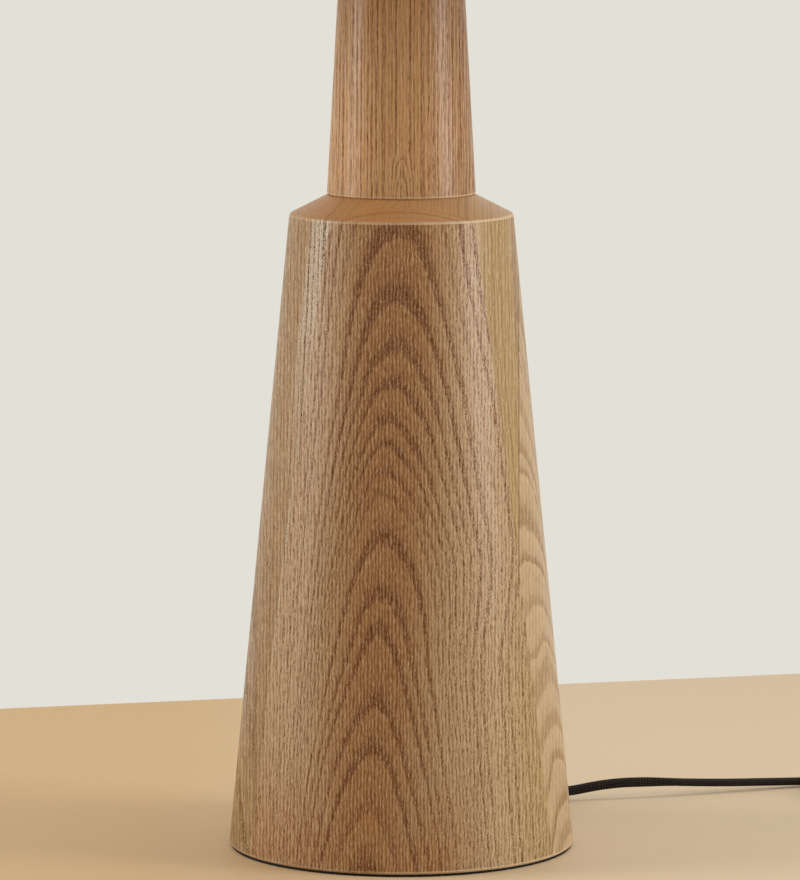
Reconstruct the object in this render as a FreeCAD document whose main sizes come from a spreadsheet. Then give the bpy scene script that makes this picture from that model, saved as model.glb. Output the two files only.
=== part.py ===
import FreeCAD, Part
import math
import os
import re
import Sketcher

# Column table lamp: a turned oak cone glued up from four boards, a turned oak neck, a steel pipe
# through both, a lamp holder with a harp, and a tapered fabric shade on top of the harp.
# Millimetres, +Z up. The origin is the centre of the underside of the foot pad, the front is -Y.
# The cord leaves low at the back and runs to +X.

doc = FreeCAD.newDocument("column_table_lamp")

# Driving sizes
SIZES = [
    ("foot_radius", 100.0, "wooden foot, at its widest"),
    ("shoulder_radius", 64.3, "top of the cone, where the shoulder starts"),
    ("cone_height", 366.0, "foot to shoulder edge"),
    ("shoulder_rise", 11.0, "shoulder edge to neck foot"),
    ("neck_foot_radius", 42.7, "neck where it stands on the shoulder"),
    ("neck_top_radius", 34.2, "neck at its top"),
    ("neck_height", 154.0, "neck foot to neck top"),
    ("board_thickness", 50.0, "each of the four boards of the cone"),
    ("shoulder_round", 2.0, "softened shoulder edge"),
    ("edge_bevel", 1.0, "bevel on the foot, the neck foot and the neck top"),
    ("tenon_radius", 20.0, "round tenon under the neck"),
    ("tenon_length", 25.0, "tenon depth in the cone"),
    ("tenon_end_gap", 0.8, "glue room under the tenon"),
    ("recess_radius", 30.0, "recess under the foot for nut and cord"),
    ("recess_depth", 50.0, "recess depth in the wood"),
    ("pad_thickness", 1.5, "black foot pad"),
    ("pad_inset", 1.5, "pad edge behind the foot edge"),
    ("pipe_radius", 5.0, "threaded lamp pipe, outside"),
    ("pipe_wall", 1.4, "lamp pipe wall"),
    ("pipe_hole_gap", 0.5, "room round the pipe in wood, washer, cap and saddle"),
    ("pipe_proud", 2.0, "pipe end past the foot nut"),
    ("pipe_end_gap", 0.5, "pipe end below the top of the holder cap's neck"),
    ("foot_washer_radius", 19.0, "washer in the recess"),
    ("foot_washer_thickness", 2.0, "washer in the recess"),
    ("foot_nut_flats", 17.0, "foot nut across flats"),
    ("foot_nut_thickness", 5.0, "foot nut"),
    ("cord_radius", 2.7, "braided mains cord"),
    ("cord_slack", 0.1, "bushing bore round the cord"),
    ("cord_bend", 27.0, "bend of the cord inside the recess"),
    ("channel_radius", 4.5, "cord hole from the recess to the back"),
    ("exit_height", 12.0, "cord hole axis above the table"),
    ("exit_angle", 35.0, "cord hole, degrees from the back towards +X"),
    ("seat_depth", 1.4, "flat seat cut for the bushing flange"),
    ("seat_play", 0.3, "seat round the bushing flange"),
    ("flange_radius", 8.0, "cord bushing flange"),
    ("flange_thickness", 2.0, "cord bushing flange"),
    ("shank_length", 14.0, "bushing shank in the cord hole"),
    ("sleeve_root_radius", 5.6, "bushing sleeve at the flange"),
    ("sleeve_tip_radius", 3.8, "bushing sleeve at its tip"),
    ("sleeve_reach", 22.0, "tapered sleeve outside the flange"),
    ("cap_radius", 29.0, "metal cap on the neck"),
    ("cap_crown_radius", 24.0, "flat top of the cap"),
    ("cap_rim", 1.6, "cap edge"),
    ("cap_height", 4.0, "cap at its centre"),
    ("lock_nut_flats", 14.0, "lock nut across flats"),
    ("lock_nut_thickness", 4.0, "lock nut on the cap"),
    ("saddle_thickness", 2.0, "harp saddle strip"),
    ("saddle_width", 12.0, "harp saddle strip"),
    ("saddle_centre_radius", 9.0, "round middle of the saddle"),
    ("post_spread", 30.0, "saddle post from the lamp axis"),
    ("post_radius", 1.9, "saddle post"),
    ("post_height", 13.0, "saddle post above the strip"),
    ("running_gap", 0.08, "radial play of a fit that moves"),
    ("rest_gap", 0.2, "play between faces that rest on each other and part"),
    ("free_gap", 0.35, "radial room round a thread that only passes through"),
    ("harp_wire_radius", 1.7, "harp wire"),
    ("harp_height", 202.0, "saddle strip to harp boss"),
    ("harp_leg", 16.0, "straight foot of the harp"),
    ("harp_half_width", 56.0, "harp where it gets to its full width"),
    ("harp_shoulder_half", 57.0, "harp where it starts to close"),
    ("harp_belly_low", 70.0, "harp foot to where it gets to its full width"),
    ("harp_belly_high", 130.0, "harp foot to where it starts to close"),
    ("harp_crown_half", 34.0, "half of the harp's top run"),
    ("boss_radius", 8.0, "boss at the top of the harp"),
    ("boss_thickness", 4.0, "boss at the top of the harp"),
    ("ferrule_wall", 1.3, "harp ferrule wall"),
    ("ferrule_length", 22.0, "harp ferrule"),
    ("stud_radius", 3.1, "swivel stud thread"),
    ("stud_head_radius", 4.8, "stud head under the harp boss"),
    ("stud_head_thickness", 1.2, "stud head under the harp boss"),
    ("collar_radius", 6.0, "stud collar that carries the shade"),
    ("collar_thickness", 2.0, "stud collar that carries the shade"),
    ("stud_thread_length", 14.0, "thread above the collar"),
    ("hub_radius", 11.0, "spider hub"),
    ("hub_thickness", 3.2, "spider hub"),
    ("shade_height", 250.0, "fabric shade"),
    ("shade_bottom_radius", 200.0, "fabric shade at its bottom edge"),
    ("shade_top_radius", 165.0, "fabric shade at its top edge"),
    ("shade_drop", 16.0, "spider hub below the top ring"),
    ("fabric_thickness", 0.8, "shade cloth"),
    ("liner_thickness", 0.8, "stiff liner behind the cloth"),
    ("ring_wire_radius", 1.6, "shade rings and spider arms"),
    ("ring_inset", 3.0, "ring centre inside the shade's edge"),
    ("ring_play", 0.1, "ring inside the liner"),
    ("arm_count", 3, "spider arms, the first to the back"),
    ("arm_bend", 24.0, "spider arm bend from the top ring"),
    ("arm_overlap", 3.0, "spider arm inside the hub"),
    ("trim_height", 9.0, "rolled edge of the cloth"),
    ("trim_thickness", 0.7, "rolled edge of the cloth"),
    ("finial_radius", 8.5, "finial ball"),
    ("finial_foot_radius", 6.5, "finial foot"),
    ("finial_neck_radius", 4.8, "finial above its foot"),
    ("finial_foot_height", 4.0, "finial foot"),
    ("finial_height", 27.0, "finial"),
    ("holder_neck_radius", 7.2, "lower end of the holder cap"),
    ("holder_neck_height", 10.0, "lower end of the holder cap"),
    ("holder_flare", 8.0, "height over which the holder cap widens"),
    ("holder_rim", 9.0, "straight rim of the holder cap"),
    ("holder_wall", 0.8, "holder cap wall"),
    ("shell_radius", 16.4, "holder shell, outside"),
    ("shell_wall", 0.6, "holder shell wall"),
    ("shell_height", 50.0, "holder shell"),
    ("paper_wall", 0.7, "insulating liner in the holder shell"),
    ("paper_drop", 1.0, "insulating liner below the shell's rim"),
    ("block_radius", 12.4, "switch block"),
    ("block_height", 22.0, "switch block"),
    ("block_flange", 4.0, "flange of the switch block"),
    ("block_lift", 7.0, "switch block above the foot of the shell"),
    ("screw_shell_radius", 14.2, "threaded lamp shell, outside"),
    ("screw_shell_wall", 0.5, "threaded lamp shell"),
    ("screw_shell_height", 19.0, "threaded lamp shell"),
    ("contact_radius", 3.5, "centre contact"),
    ("contact_height", 2.0, "centre contact"),
    ("set_screw_radius", 1.5, "set screw in the holder cap"),
    ("set_screw_length", 3.6, "set screw in the holder cap"),
    ("terminal_height", 9.0, "terminal screws above the foot of the block"),
    ("terminal_head_radius", 3.0, "terminal screw head"),
    ("terminal_head_height", 1.5, "terminal screw head"),
    ("terminal_shank_radius", 1.5, "terminal screw shank"),
    ("terminal_shank_length", 5.0, "terminal screw shank"),
    ("lead_radius", 0.9, "insulated conductor"),
    ("lead_spread", 1.3, "conductor from the cord axis"),
    ("lead_rise", 5.0, "conductor before it spreads"),
    ("lead_drop", 5.0, "conductor's outer bend below the switch block"),
    ("spindle_radius", 1.6, "switch spindle"),
    ("spindle_depth", 6.0, "spindle inside the block"),
    ("spindle_height", 9.0, "spindle above the foot of the block"),
    ("spindle_hold", 10.0, "spindle inside the knob"),
    ("window_radius", 3.2, "spindle window in shell and insulating liner"),
    ("knob_radius", 6.0, "switch knob"),
    ("knob_length", 15.0, "switch knob"),
    ("knob_stand_off", 4.0, "knob from the holder shell"),
    ("bulb_radius", 30.0, "bulb globe"),
    ("bulb_length", 107.0, "bulb from contact to crown"),
    ("bulb_base_radius", 13.2, "bulb base shell"),
    ("bulb_base_height", 22.0, "bulb base shell"),
    ("bulb_base_wall", 0.5, "bulb base shell"),
    ("bulb_eyelet_radius", 3.0, "hole in the floor of the base shell"),
    ("bulb_tip_radius", 4.5, "bulb contact"),
    ("bulb_tip_thickness", 1.5, "bulb contact"),
    ("insulator_height", 2.7, "black glass between contact and base shell"),
    ("insulator_radius", 11.0, "black glass under the base shell"),
    ("bulb_wall", 0.7, "bulb glass"),
    ("bulb_neck_depth", 14.0, "bulb glass inside the base shell"),
    ("stem_radius", 4.0, "glass mount in the bulb"),
    ("stem_flare", 10.0, "flared foot of the glass mount"),
    ("stem_height", 38.0, "glass mount in the bulb"),
    ("filament_radius", 0.5, "filament and its support wires"),
    ("filament_spread", 2.0, "support wires in the glass mount"),
    ("filament_leg", 4.0, "support wires straight out of the glass mount"),
    ("filament_span", 15.0, "filament half width"),
    ("filament_rise", 24.0, "filament above the glass mount"),
    ("filament_sag", 4.0, "filament zigzag"),
    ("plug_width", 25.0, "plug body"),
    ("plug_thickness", 17.0, "plug body"),
    ("plug_neck_radius", 4.6, "plug body at the cord"),
    ("plug_neck_length", 11.0, "plug body from the cord to its full size"),
    ("plug_length", 34.0, "plug body"),
    ("plug_corner", 4.0, "rounded corners of the plug body"),
    ("plug_taper", 1.5, "plug body narrower at its face"),
    ("blade_width", 6.3, "plug blade"),
    ("blade_thickness", 1.5, "plug blade"),
    ("blade_length", 16.0, "plug blade"),
    ("blade_pitch", 12.7, "distance between the blades"),
    ("blade_hole_radius", 1.6, "hole near the blade tip"),
    ("blade_hole_inset", 4.0, "hole from the blade tip"),
    ("lead_straight", 16.0, "cord straight out of the bushing"),
    ("coil_pitch", 6.0, "distance between turns and between layers"),
    ("coil_inner_radius", 21.8, "innermost turn"),
    ("coil_turns_in", 3.5, "turns of the lower layer"),
    ("coil_turns_climb", 0.5, "turns that climb from layer to layer"),
    ("coil_turns_out", 3.34, "turns of the upper layer"),
    ("tail_first", 26.0, "first run of the cord's tail"),
    ("tail_second", 26.0, "last run of the cord's tail, into the plug"),
    ("tail_turn", 20.0, "bend of the tail, degrees"),
]
DRIVING = [alias for alias, size, note in SIZES]

sheet = doc.addObject("Spreadsheet::Sheet", "Sizes")
for row, (alias, size, note) in enumerate(SIZES, start=1):
    sheet.set("A%d" % row, note)
    sheet.set("B%d" % row, str(size))
    sheet.setAlias("B%d" % row, alias)
doc.recompute()

# Heights, radii and fits that follow from the driving sizes, one formula a line
FORMULAS = """
    shoulder_z = pad_thickness + cone_height
    neck_foot_z = shoulder_z + shoulder_rise
    neck_top_z = neck_foot_z + neck_height
    neck_bevel_radius = neck_foot_radius - edge_bevel
    neck_bevel_z = neck_foot_z + edge_bevel
    neck_crown_radius = neck_top_radius - edge_bevel
    neck_crown_z = neck_top_z - edge_bevel
    tenon_z = neck_foot_z - tenon_length
    tenon_hole_z = tenon_z - tenon_end_gap
    tenon_hole_depth = neck_foot_z - tenon_hole_z
    recess_top_z = pad_thickness + recess_depth
    pad_radius = foot_radius - pad_inset
    pipe_bore = pipe_radius - pipe_wall
    pipe_hole = pipe_radius + pipe_hole_gap
    foot_washer_z = recess_top_z - foot_washer_thickness
    foot_nut_z = foot_washer_z - foot_nut_thickness
    foot_nut_corner = foot_nut_flats / 2 / cos(30)
    pipe_foot_z = foot_nut_z - pipe_proud
    cone_slope = (foot_radius - shoulder_radius) / cone_height
    exit_surface = foot_radius - cone_slope * (exit_height - pad_thickness)
    flange_seat = exit_surface - seat_depth
    shank_start = flange_seat - shank_length
    flange_recess_radius = flange_radius + seat_play
    flange_top = shank_length + flange_thickness
    sleeve_end = flange_top + sleeve_reach
    sleeve_bore = cord_radius + cord_slack
    cord_exit = shank_start + sleeve_end
    cap_rim_z = neck_top_z + cap_rim
    lock_nut_z = neck_top_z + cap_height
    lock_nut_corner = lock_nut_flats / 2 / cos(30)
    saddle_z = lock_nut_z + lock_nut_thickness
    holder_z = saddle_z + saddle_thickness
    post_top_z = holder_z + post_height
    harp_foot_z = post_top_z + rest_gap
    ferrule_z = holder_z + rest_gap
    ferrule_bore = post_radius + running_gap
    ferrule_radius = ferrule_bore + ferrule_wall
    boss_z = holder_z + harp_height
    boss_top_z = boss_z + boss_thickness
    boss_middle_z = boss_z + boss_thickness / 2
    stud_hole = stud_radius + running_gap
    stud_head_top_z = boss_z - rest_gap
    stud_head_z = stud_head_top_z - stud_head_thickness
    collar_z = boss_top_z + rest_gap
    collar_top_z = collar_z + collar_thickness
    stud_top_z = collar_top_z + stud_thread_length
    hub_z = collar_top_z + rest_gap
    hub_middle_z = hub_z + hub_thickness / 2
    hub_top_z = hub_z + hub_thickness
    hub_hole = stud_radius + free_gap
    top_ring_z = hub_middle_z + shade_drop
    shade_top_z = top_ring_z + ring_inset
    shade_bottom_z = shade_top_z - shade_height
    bottom_ring_z = shade_bottom_z + ring_inset
    shade_slope = (shade_bottom_radius - shade_top_radius) / shade_height
    liner_bottom_radius = shade_bottom_radius - fabric_thickness
    liner_top_radius = shade_top_radius - fabric_thickness
    bore_bottom_radius = liner_bottom_radius - liner_thickness
    bore_top_radius = liner_top_radius - liner_thickness
    ring_setback = ring_wire_radius + ring_play
    top_ring_radius = bore_top_radius + shade_slope * ring_inset - ring_setback
    bottom_ring_radius = bore_bottom_radius - shade_slope * ring_inset - ring_setback
    trim_top_z = shade_top_z + trim_thickness
    trim_top_low_z = shade_top_z - trim_height
    trim_top_low_radius = shade_top_radius + shade_slope * trim_height
    trim_top_low_out = trim_top_low_radius + trim_thickness
    trim_top_out = shade_top_radius + trim_thickness
    trim_bottom_z = shade_bottom_z - trim_thickness
    trim_bottom_high_z = shade_bottom_z + trim_height
    trim_bottom_high_radius = shade_bottom_radius - shade_slope * trim_height
    trim_bottom_high_out = trim_bottom_high_radius + trim_thickness
    trim_bottom_out = shade_bottom_radius + trim_thickness
    finial_z = hub_top_z + rest_gap
    finial_neck_z = finial_z + finial_foot_height
    finial_ball_z = finial_z + finial_height - finial_radius
    finial_neck_height = finial_ball_z - finial_neck_z
    finial_bore = stud_radius + free_gap
    finial_bore_depth = stud_top_z - finial_z + rest_gap
    flare_z = holder_z + holder_neck_height
    flare_floor_z = flare_z + holder_wall
    pipe_top_z = flare_z - pipe_end_gap
    pipe_length = pipe_top_z - pipe_foot_z
    rim_z = flare_z + holder_flare
    rim_floor_z = rim_z + holder_wall
    rim_top_z = rim_z + holder_rim
    rim_radius = shell_radius + holder_wall
    shell_bore = shell_radius - shell_wall
    paper_height = shell_height - paper_drop
    paper_bore = shell_bore - paper_wall
    block_z = rim_floor_z + block_lift
    block_top_z = block_z + block_height
    block_flange_z = block_top_z - block_flange
    screw_shell_bore = screw_shell_radius - screw_shell_wall
    contact_top_z = block_top_z + contact_height
    spindle_z = block_z + spindle_height
    spindle_hole = spindle_radius + running_gap
    spindle_inner = block_radius - spindle_depth
    knob_face = shell_radius + knob_stand_off
    spindle_length = knob_face + spindle_hold - spindle_inner
    terminal_z = block_z + terminal_height
    terminal_inner = block_radius - terminal_shank_length
    lead_side = block_radius + lead_radius + cord_slack
    lead_end_z = terminal_z - terminal_head_radius
    lead_spread_z = pipe_top_z + lead_rise
    lead_turn_z = block_z - lead_drop
    bulb_z = contact_top_z + rest_gap
    insulator_z = bulb_z + bulb_tip_thickness
    bulb_shell_z = insulator_z + insulator_height
    bulb_floor_z = bulb_shell_z + bulb_base_wall
    bulb_shell_top_z = bulb_shell_z + bulb_base_height
    bulb_base_bore = bulb_base_radius - bulb_base_wall
    bulb_bore = bulb_radius - bulb_wall
    bulb_neck_bore = bulb_base_bore - bulb_wall
    bulb_neck_z = bulb_shell_top_z - bulb_neck_depth
    bulb_centre_z = bulb_z + bulb_length - bulb_radius
    bulb_rise = bulb_centre_z - bulb_shell_top_z
    bulb_reach = sqrt(bulb_rise * bulb_rise + bulb_base_bore * bulb_base_bore)
    bulb_flare_turn = asin(bulb_radius / bulb_reach) - atan(bulb_base_bore / bulb_rise)
    bulb_waist_radius = bulb_radius * cos(bulb_flare_turn)
    bulb_waist_drop = bulb_radius * sin(bulb_flare_turn)
    bulb_flare_height = bulb_rise - bulb_waist_drop
    bulb_waist_bore = bulb_waist_radius - bulb_wall
    stem_column = stem_height - stem_flare
    stem_column_z = bulb_neck_z + stem_flare
    stem_top_z = bulb_neck_z + stem_height
"""

places = doc.addObject("App::VarSet", "Places")
KNOWN = list(DRIVING)


def ref(name):
    return ("Sizes." if name in DRIVING else "Places.") + name


def number(name):
    return float(sheet.get(name)) if name in DRIVING else float(getattr(places, name))


for line in FORMULAS.strip().splitlines():
    place, formula = [side.strip() for side in line.split("=")]
    named = re.sub("[a-z_]+", lambda word: ref(word[0]) if word[0] in KNOWN else word[0], formula)
    places.addProperty("App::PropertyFloat", place, "Places")
    places.setExpression(place, named)
    KNOWN.append(place)
doc.recompute()

SUBPARTS = []
UP = FreeCAD.Vector(0, 0, 1)
ACROSS = FreeCAD.Vector(1, 0, 0)
BACK = FreeCAD.Vector(0, 1, 0)


def bind(thing, bindings):
    """Binds properties to named sizes, or to a short formula of them."""
    for prop, name in bindings.items():
        thing.setExpression(prop, ref(name) if name in KNOWN else name)
    return thing


def keep(thing, label):
    """Marks a finished sub-part, which is written to a file of that name."""
    thing.Label = label
    SUBPARTS.append(thing)
    return thing


def place_along(thing, base, direction):
    """Turns a piece made along +Z to another direction, and moves it to its base."""
    thing.Placement = FreeCAD.Placement(base, FreeCAD.Rotation(UP, direction))
    return thing


def cylinder(name, radius, height, foot=None):
    rod = doc.addObject("Part::Cylinder", name)
    bind(rod, {"Radius": radius, "Height": height})
    return bind(rod, {"Placement.Base.z": foot}) if foot else rod


def cone(name, low_radius, high_radius, height, foot):
    taper = doc.addObject("Part::Cone", name)
    return bind(taper, {"Radius1": low_radius, "Radius2": high_radius, "Height": height,
                        "Placement.Base.z": foot})


def ball(name, radius, centre):
    return bind(doc.addObject("Part::Sphere", name), {"Radius": radius, "Placement.Base.z": centre})


def block(name, bindings):
    return bind(doc.addObject("Part::Box", name), bindings)


def torus(name, radius, wire_radius, height):
    ring = doc.addObject("Part::Torus", name)
    return bind(ring, {"Radius1": radius, "Radius2": wire_radius, "Placement.Base.z": height})


def cut(name, base, tool):
    result = doc.addObject("Part::Cut", name)
    result.Base = base
    result.Tool = tool
    return result


def common(name, base, tool):
    result = doc.addObject("Part::Common", name)
    result.Base = base
    result.Tool = tool
    return result


def fuse(name, pieces):
    result = doc.addObject("Part::MultiFuse", name)
    result.Shapes = pieces
    return result


def group(name, pieces):
    """Separate solids that share one sub-part."""
    result = doc.addObject("Part::Compound", name)
    result.Links = pieces
    return result


def tube(name, radius, bore, height, foot):
    return cut(name, cylinder(name + "_outside", radius, height, foot),
               cylinder(name + "_inside", bore, height, foot))


def hexagon_nut(name, corner, bore, height, foot):
    prism = doc.addObject("Part::Prism", name + "_hexagon")
    prism.Polygon = 6
    bind(prism, {"Circumradius": corner, "Height": height, "Placement.Base.z": foot})
    return cut(name, prism, cylinder(name + "_hole", bore, height, foot))


def set_shape(name, shape):
    solid = doc.addObject("Part::Feature", name)
    solid.Shape = shape
    return solid


def turned(name, corners):
    """A body turned about Z from an outline whose corners are (radius, height) names."""
    body = doc.addObject("PartDesign::Body", name)
    sketch = body.newObject("Sketcher::SketchObject", name + "_outline")
    plane = next(item for item in body.Origin.OriginFeatures if item.Role == "XZ_Plane")
    sketch.AttachmentSupport = [(plane, "")]
    sketch.MapMode = "FlatFace"
    points = [FreeCAD.Vector(*[number(size) if size else 0 for size in corner]) for corner in corners]
    for index, point in enumerate(points):
        sketch.addGeometry(Part.LineSegment(point, points[(index + 1) % len(points)]), False)
    for index, (radius, height) in enumerate(corners):
        before = (index - 1) % len(corners)
        sketch.addConstraint(Sketcher.Constraint("Coincident", before, 2, index, 1))
        for kind, size, axis in (("DistanceX", radius, -2), ("DistanceY", height, -1)):
            if size:
                rule = Sketcher.Constraint(kind, -1, 1, index, 1, number(size))
                bind(sketch, {"Constraints[%d]" % sketch.addConstraint(rule): size})
            else:
                sketch.addConstraint(Sketcher.Constraint("PointOnObject", index, 1, axis))
    turn = body.newObject("PartDesign::Revolution", name + "_turned")
    turn.Profile = sketch
    turn.ReferenceAxis = (sketch, ["V_Axis"])
    turn.Angle = 360.0
    doc.recompute()
    return body


def ease(body, kind, prop, radius, height, size):
    """Rounds or bevels the circular edge that a turned body has at a radius and height."""
    base = body.Tip
    edges = []
    for index, edge in enumerate(base.Shape.Edges, start=1):
        curve = edge.Curve
        if isinstance(curve, Part.Circle) and abs(curve.Radius - number(radius)) < 0.001:
            if abs(curve.Center.z - number(height)) < 0.001:
                edges.append("Edge%d" % index)
    dressing = body.newObject("PartDesign::" + kind, "%s_%s" % (body.Name, size))
    dressing.Base = (base, edges)
    bind(dressing, {prop: size})
    doc.recompute()


def corner_arc(enter, corner, leave):
    """The arc that leaves one line and joins the next, both as long from their corner."""
    chord_middle = (enter + leave) * 0.5
    inward = chord_middle - corner
    half_turn = (corner - enter).getAngle(leave - corner) / 2
    radius = (corner - enter).Length / math.tan(half_turn)
    inward.normalize()
    middle = corner + inward * (radius / math.cos(half_turn) - radius)
    return Part.Arc(enter, middle, leave).toShape(), radius


# The share of the shorter run that an arc of a route takes
RUN_SHARE = 0.45


def route(points, largest=None):
    """Straight runs joined by tangent arcs, each as large as its two runs allow."""
    edges = []
    radii = []
    start = points[0]
    for before, corner, after in zip(points, points[1:], points[2:]):
        toward = corner - before
        away = after - corner
        half_turn = toward.getAngle(away) / 2
        radius = RUN_SHARE * min(toward.Length, away.Length) / math.tan(half_turn)
        radius = min(radius, largest) if largest else radius
        setback = radius * math.tan(half_turn)
        toward.normalize()
        away.normalize()
        leave = corner + away * setback
        arc, arc_radius = corner_arc(corner - toward * setback, corner, leave)
        edges.append(Part.LineSegment(start, corner - toward * setback).toShape())
        edges.append(arc)
        radii.append(arc_radius)
        start = leave
    edges.append(Part.LineSegment(start, points[-1]).toShape())
    return Part.Wire(edges), radii


def swept(wire, radius, start, direction):
    """A round tube along a path."""
    ring = Part.Wire(Part.Circle(start, direction, radius).toShape())
    return wire.makePipeShell([ring], True, False)


def tube_along(name, points, radius, largest=None):
    """A round tube along straight runs and arcs, with its facts printed."""
    wire, radii = route(points, largest)
    shape = swept(wire, radius, points[0], points[1] - points[0])
    ratio = shape.Volume / (math.pi * radius * radius * wire.Length)
    print("%s: length %.1f, volume ratio %.4f, arc radii %s"
          % (name, wire.Length, ratio, ", ".join("%.1f" % size for size in radii)))
    return shape


def point(x, y, z):
    return FreeCAD.Vector(x, y, z)


# The turned cone, before it is parted into its boards and bored
cone_blank = turned("cone_blank", [
    (None, "pad_thickness"),
    ("foot_radius", "pad_thickness"),
    ("shoulder_radius", "shoulder_z"),
    ("neck_foot_radius", "neck_foot_z"),
    (None, "neck_foot_z"),
])
ease(cone_blank, "Fillet", "Radius", "shoulder_radius", "shoulder_z", "shoulder_round")
ease(cone_blank, "Chamfer", "Size", "foot_radius", "pad_thickness", "edge_bevel")

# The cord hole points outward, low at the back
outward = FreeCAD.Rotation(UP, -number("exit_angle")).multVec(BACK)


def on_exit_axis(distance):
    return outward * distance + UP * number("exit_height")


# Everything that is bored out of the cone
cord_hole = place_along(cylinder("cord_hole", "channel_radius", "foot_radius"),
                        on_exit_axis(0), outward)
flange_recess = place_along(cylinder("flange_recess", "flange_recess_radius", "sleeve_reach"),
                            on_exit_axis(number("flange_seat")), outward)
hollows = fuse("hollows", [
    cylinder("pipe_hole_in_cone", "pipe_hole", "neck_foot_z"),
    cylinder("nut_recess", "recess_radius", "recess_top_z"),
    cylinder("tenon_hole", "tenon_radius", "tenon_hole_depth", "tenon_hole_z"),
    cord_hole,
    flange_recess,
])

# Four flat boards, glued face to face from front to back
BOARDS = ["base_board_front", "base_board_mid_front", "base_board_mid_back", "base_board_back"]
for index, label in enumerate(BOARDS):
    slab = block(label + "_slab", {
        "Length": "2 * Sizes.foot_radius",
        "Width": "board_thickness",
        "Height": "neck_foot_z",
        "Placement.Base.x": "-Sizes.foot_radius",
        "Placement.Base.y": "%d * Sizes.board_thickness" % (index - len(BOARDS) // 2),
    })
    sawn = common(label + "_sawn", cone_blank, slab)
    keep(cut(label + "_bored", sawn, hollows), label)

# The neck, turned with its tenon and bored for the pipe
keep(turned("neck", [
    ("pipe_hole", "tenon_z"),
    ("tenon_radius", "tenon_z"),
    ("tenon_radius", "neck_foot_z"),
    ("neck_bevel_radius", "neck_foot_z"),
    ("neck_foot_radius", "neck_bevel_z"),
    ("neck_top_radius", "neck_crown_z"),
    ("neck_crown_radius", "neck_top_z"),
    ("pipe_hole", "neck_top_z"),
]), "column_neck")

# The foot pad closes the recess
keep(cylinder("pad_disc", "pad_radius", "pad_thickness"), "base_pad")

# The pipe clamps cone, neck and lamp holder together, with its nut and washer in the recess
keep(tube("pipe", "pipe_radius", "pipe_bore", "pipe_length", "pipe_foot_z"), "lamp_pipe")
keep(tube("washer", "foot_washer_radius", "pipe_hole", "foot_washer_thickness", "foot_washer_z"),
     "foot_washer")
keep(hexagon_nut("nut_below", "foot_nut_corner", "pipe_radius", "foot_nut_thickness",
                 "foot_nut_z"), "foot_nut")

# Moulded bushing that leads the cord out, with a tapered sleeve
bushing = turned("bushing", [
    ("sleeve_bore", None),
    ("channel_radius", None),
    ("channel_radius", "shank_length"),
    ("flange_radius", "shank_length"),
    ("flange_radius", "flange_top"),
    ("sleeve_root_radius", "flange_top"),
    ("sleeve_tip_radius", "sleeve_end"),
    ("sleeve_bore", "sleeve_end"),
])
keep(place_along(bushing, on_exit_axis(number("shank_start")), outward), "cord_bushing")

# Cap, lock nut and harp saddle on top of the neck
keep(turned("cap_on_neck", [
    ("pipe_hole", "neck_top_z"),
    ("cap_radius", "neck_top_z"),
    ("cap_radius", "cap_rim_z"),
    ("cap_crown_radius", "lock_nut_z"),
    ("pipe_hole", "lock_nut_z"),
]), "neck_cap")
keep(hexagon_nut("nut_above", "lock_nut_corner", "pipe_radius", "lock_nut_thickness",
                 "lock_nut_z"), "lock_nut")

saddle_strip = block("saddle_strip", {
    "Length": "2 * Sizes.post_spread",
    "Width": "saddle_width",
    "Height": "saddle_thickness",
    "Placement.Base.x": "-Sizes.post_spread",
    "Placement.Base.y": "-Sizes.saddle_width / 2",
    "Placement.Base.z": "saddle_z",
})
saddle_pieces = [saddle_strip, cylinder("saddle_centre", "saddle_centre_radius",
                                        "saddle_thickness", "saddle_z")]
for side, sign in (("left", -1), ("right", 1)):
    saddle_end = cylinder("saddle_end_" + side, "Sizes.saddle_width / 2", "saddle_thickness", "saddle_z")
    post = cylinder("saddle_post_" + side, "post_radius", "Sizes.saddle_thickness + Sizes.post_height",
                    "saddle_z")
    for piece in (saddle_end, post):
        bind(piece, {"Placement.Base.x": "%d * Sizes.post_spread" % sign})
        saddle_pieces.append(piece)
keep(cut("saddle", fuse("saddle_solid", saddle_pieces),
         cylinder("saddle_hole", "pipe_radius", "saddle_thickness", "saddle_z")), "harp_saddle")

# The lamp holder: cap, set screw, shell, insulating liner, switch block and contacts
holder_cap = turned("cap_of_holder", [
    ("pipe_radius", "holder_z"),
    ("holder_neck_radius", "holder_z"),
    ("holder_neck_radius", "flare_z"),
    ("rim_radius", "rim_z"),
    ("rim_radius", "rim_top_z"),
    ("shell_radius", "rim_top_z"),
    ("shell_radius", "rim_floor_z"),
    ("pipe_radius", "flare_floor_z"),
])
set_screw_base = BACK * number("pipe_radius") + UP * number("holder_z")
set_screw_base += UP * (number("holder_neck_height") / 2)
set_screw_hole = place_along(cylinder("set_screw_hole", "set_screw_radius", "set_screw_length"),
                             set_screw_base, BACK)
set_screw = place_along(cylinder("set_screw", "set_screw_radius", "set_screw_length"),
                        set_screw_base, BACK)
keep(cut("holder_cap_drilled", holder_cap, set_screw_hole), "holder_cap")
keep(set_screw, "holder_set_screw")


def on_spindle_axis(distance):
    return BACK * -distance + UP * number("spindle_z")


window = place_along(cylinder("window", "window_radius", "rim_radius"), on_spindle_axis(0), -BACK)
keep(cut("shell_windowed", tube("shell", "shell_radius", "shell_bore", "shell_height",
                                "rim_floor_z"), window), "holder_shell")
keep(cut("paper_windowed", tube("paper", "shell_bore", "paper_bore", "paper_height",
                                "rim_floor_z"), window), "holder_liner")

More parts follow.
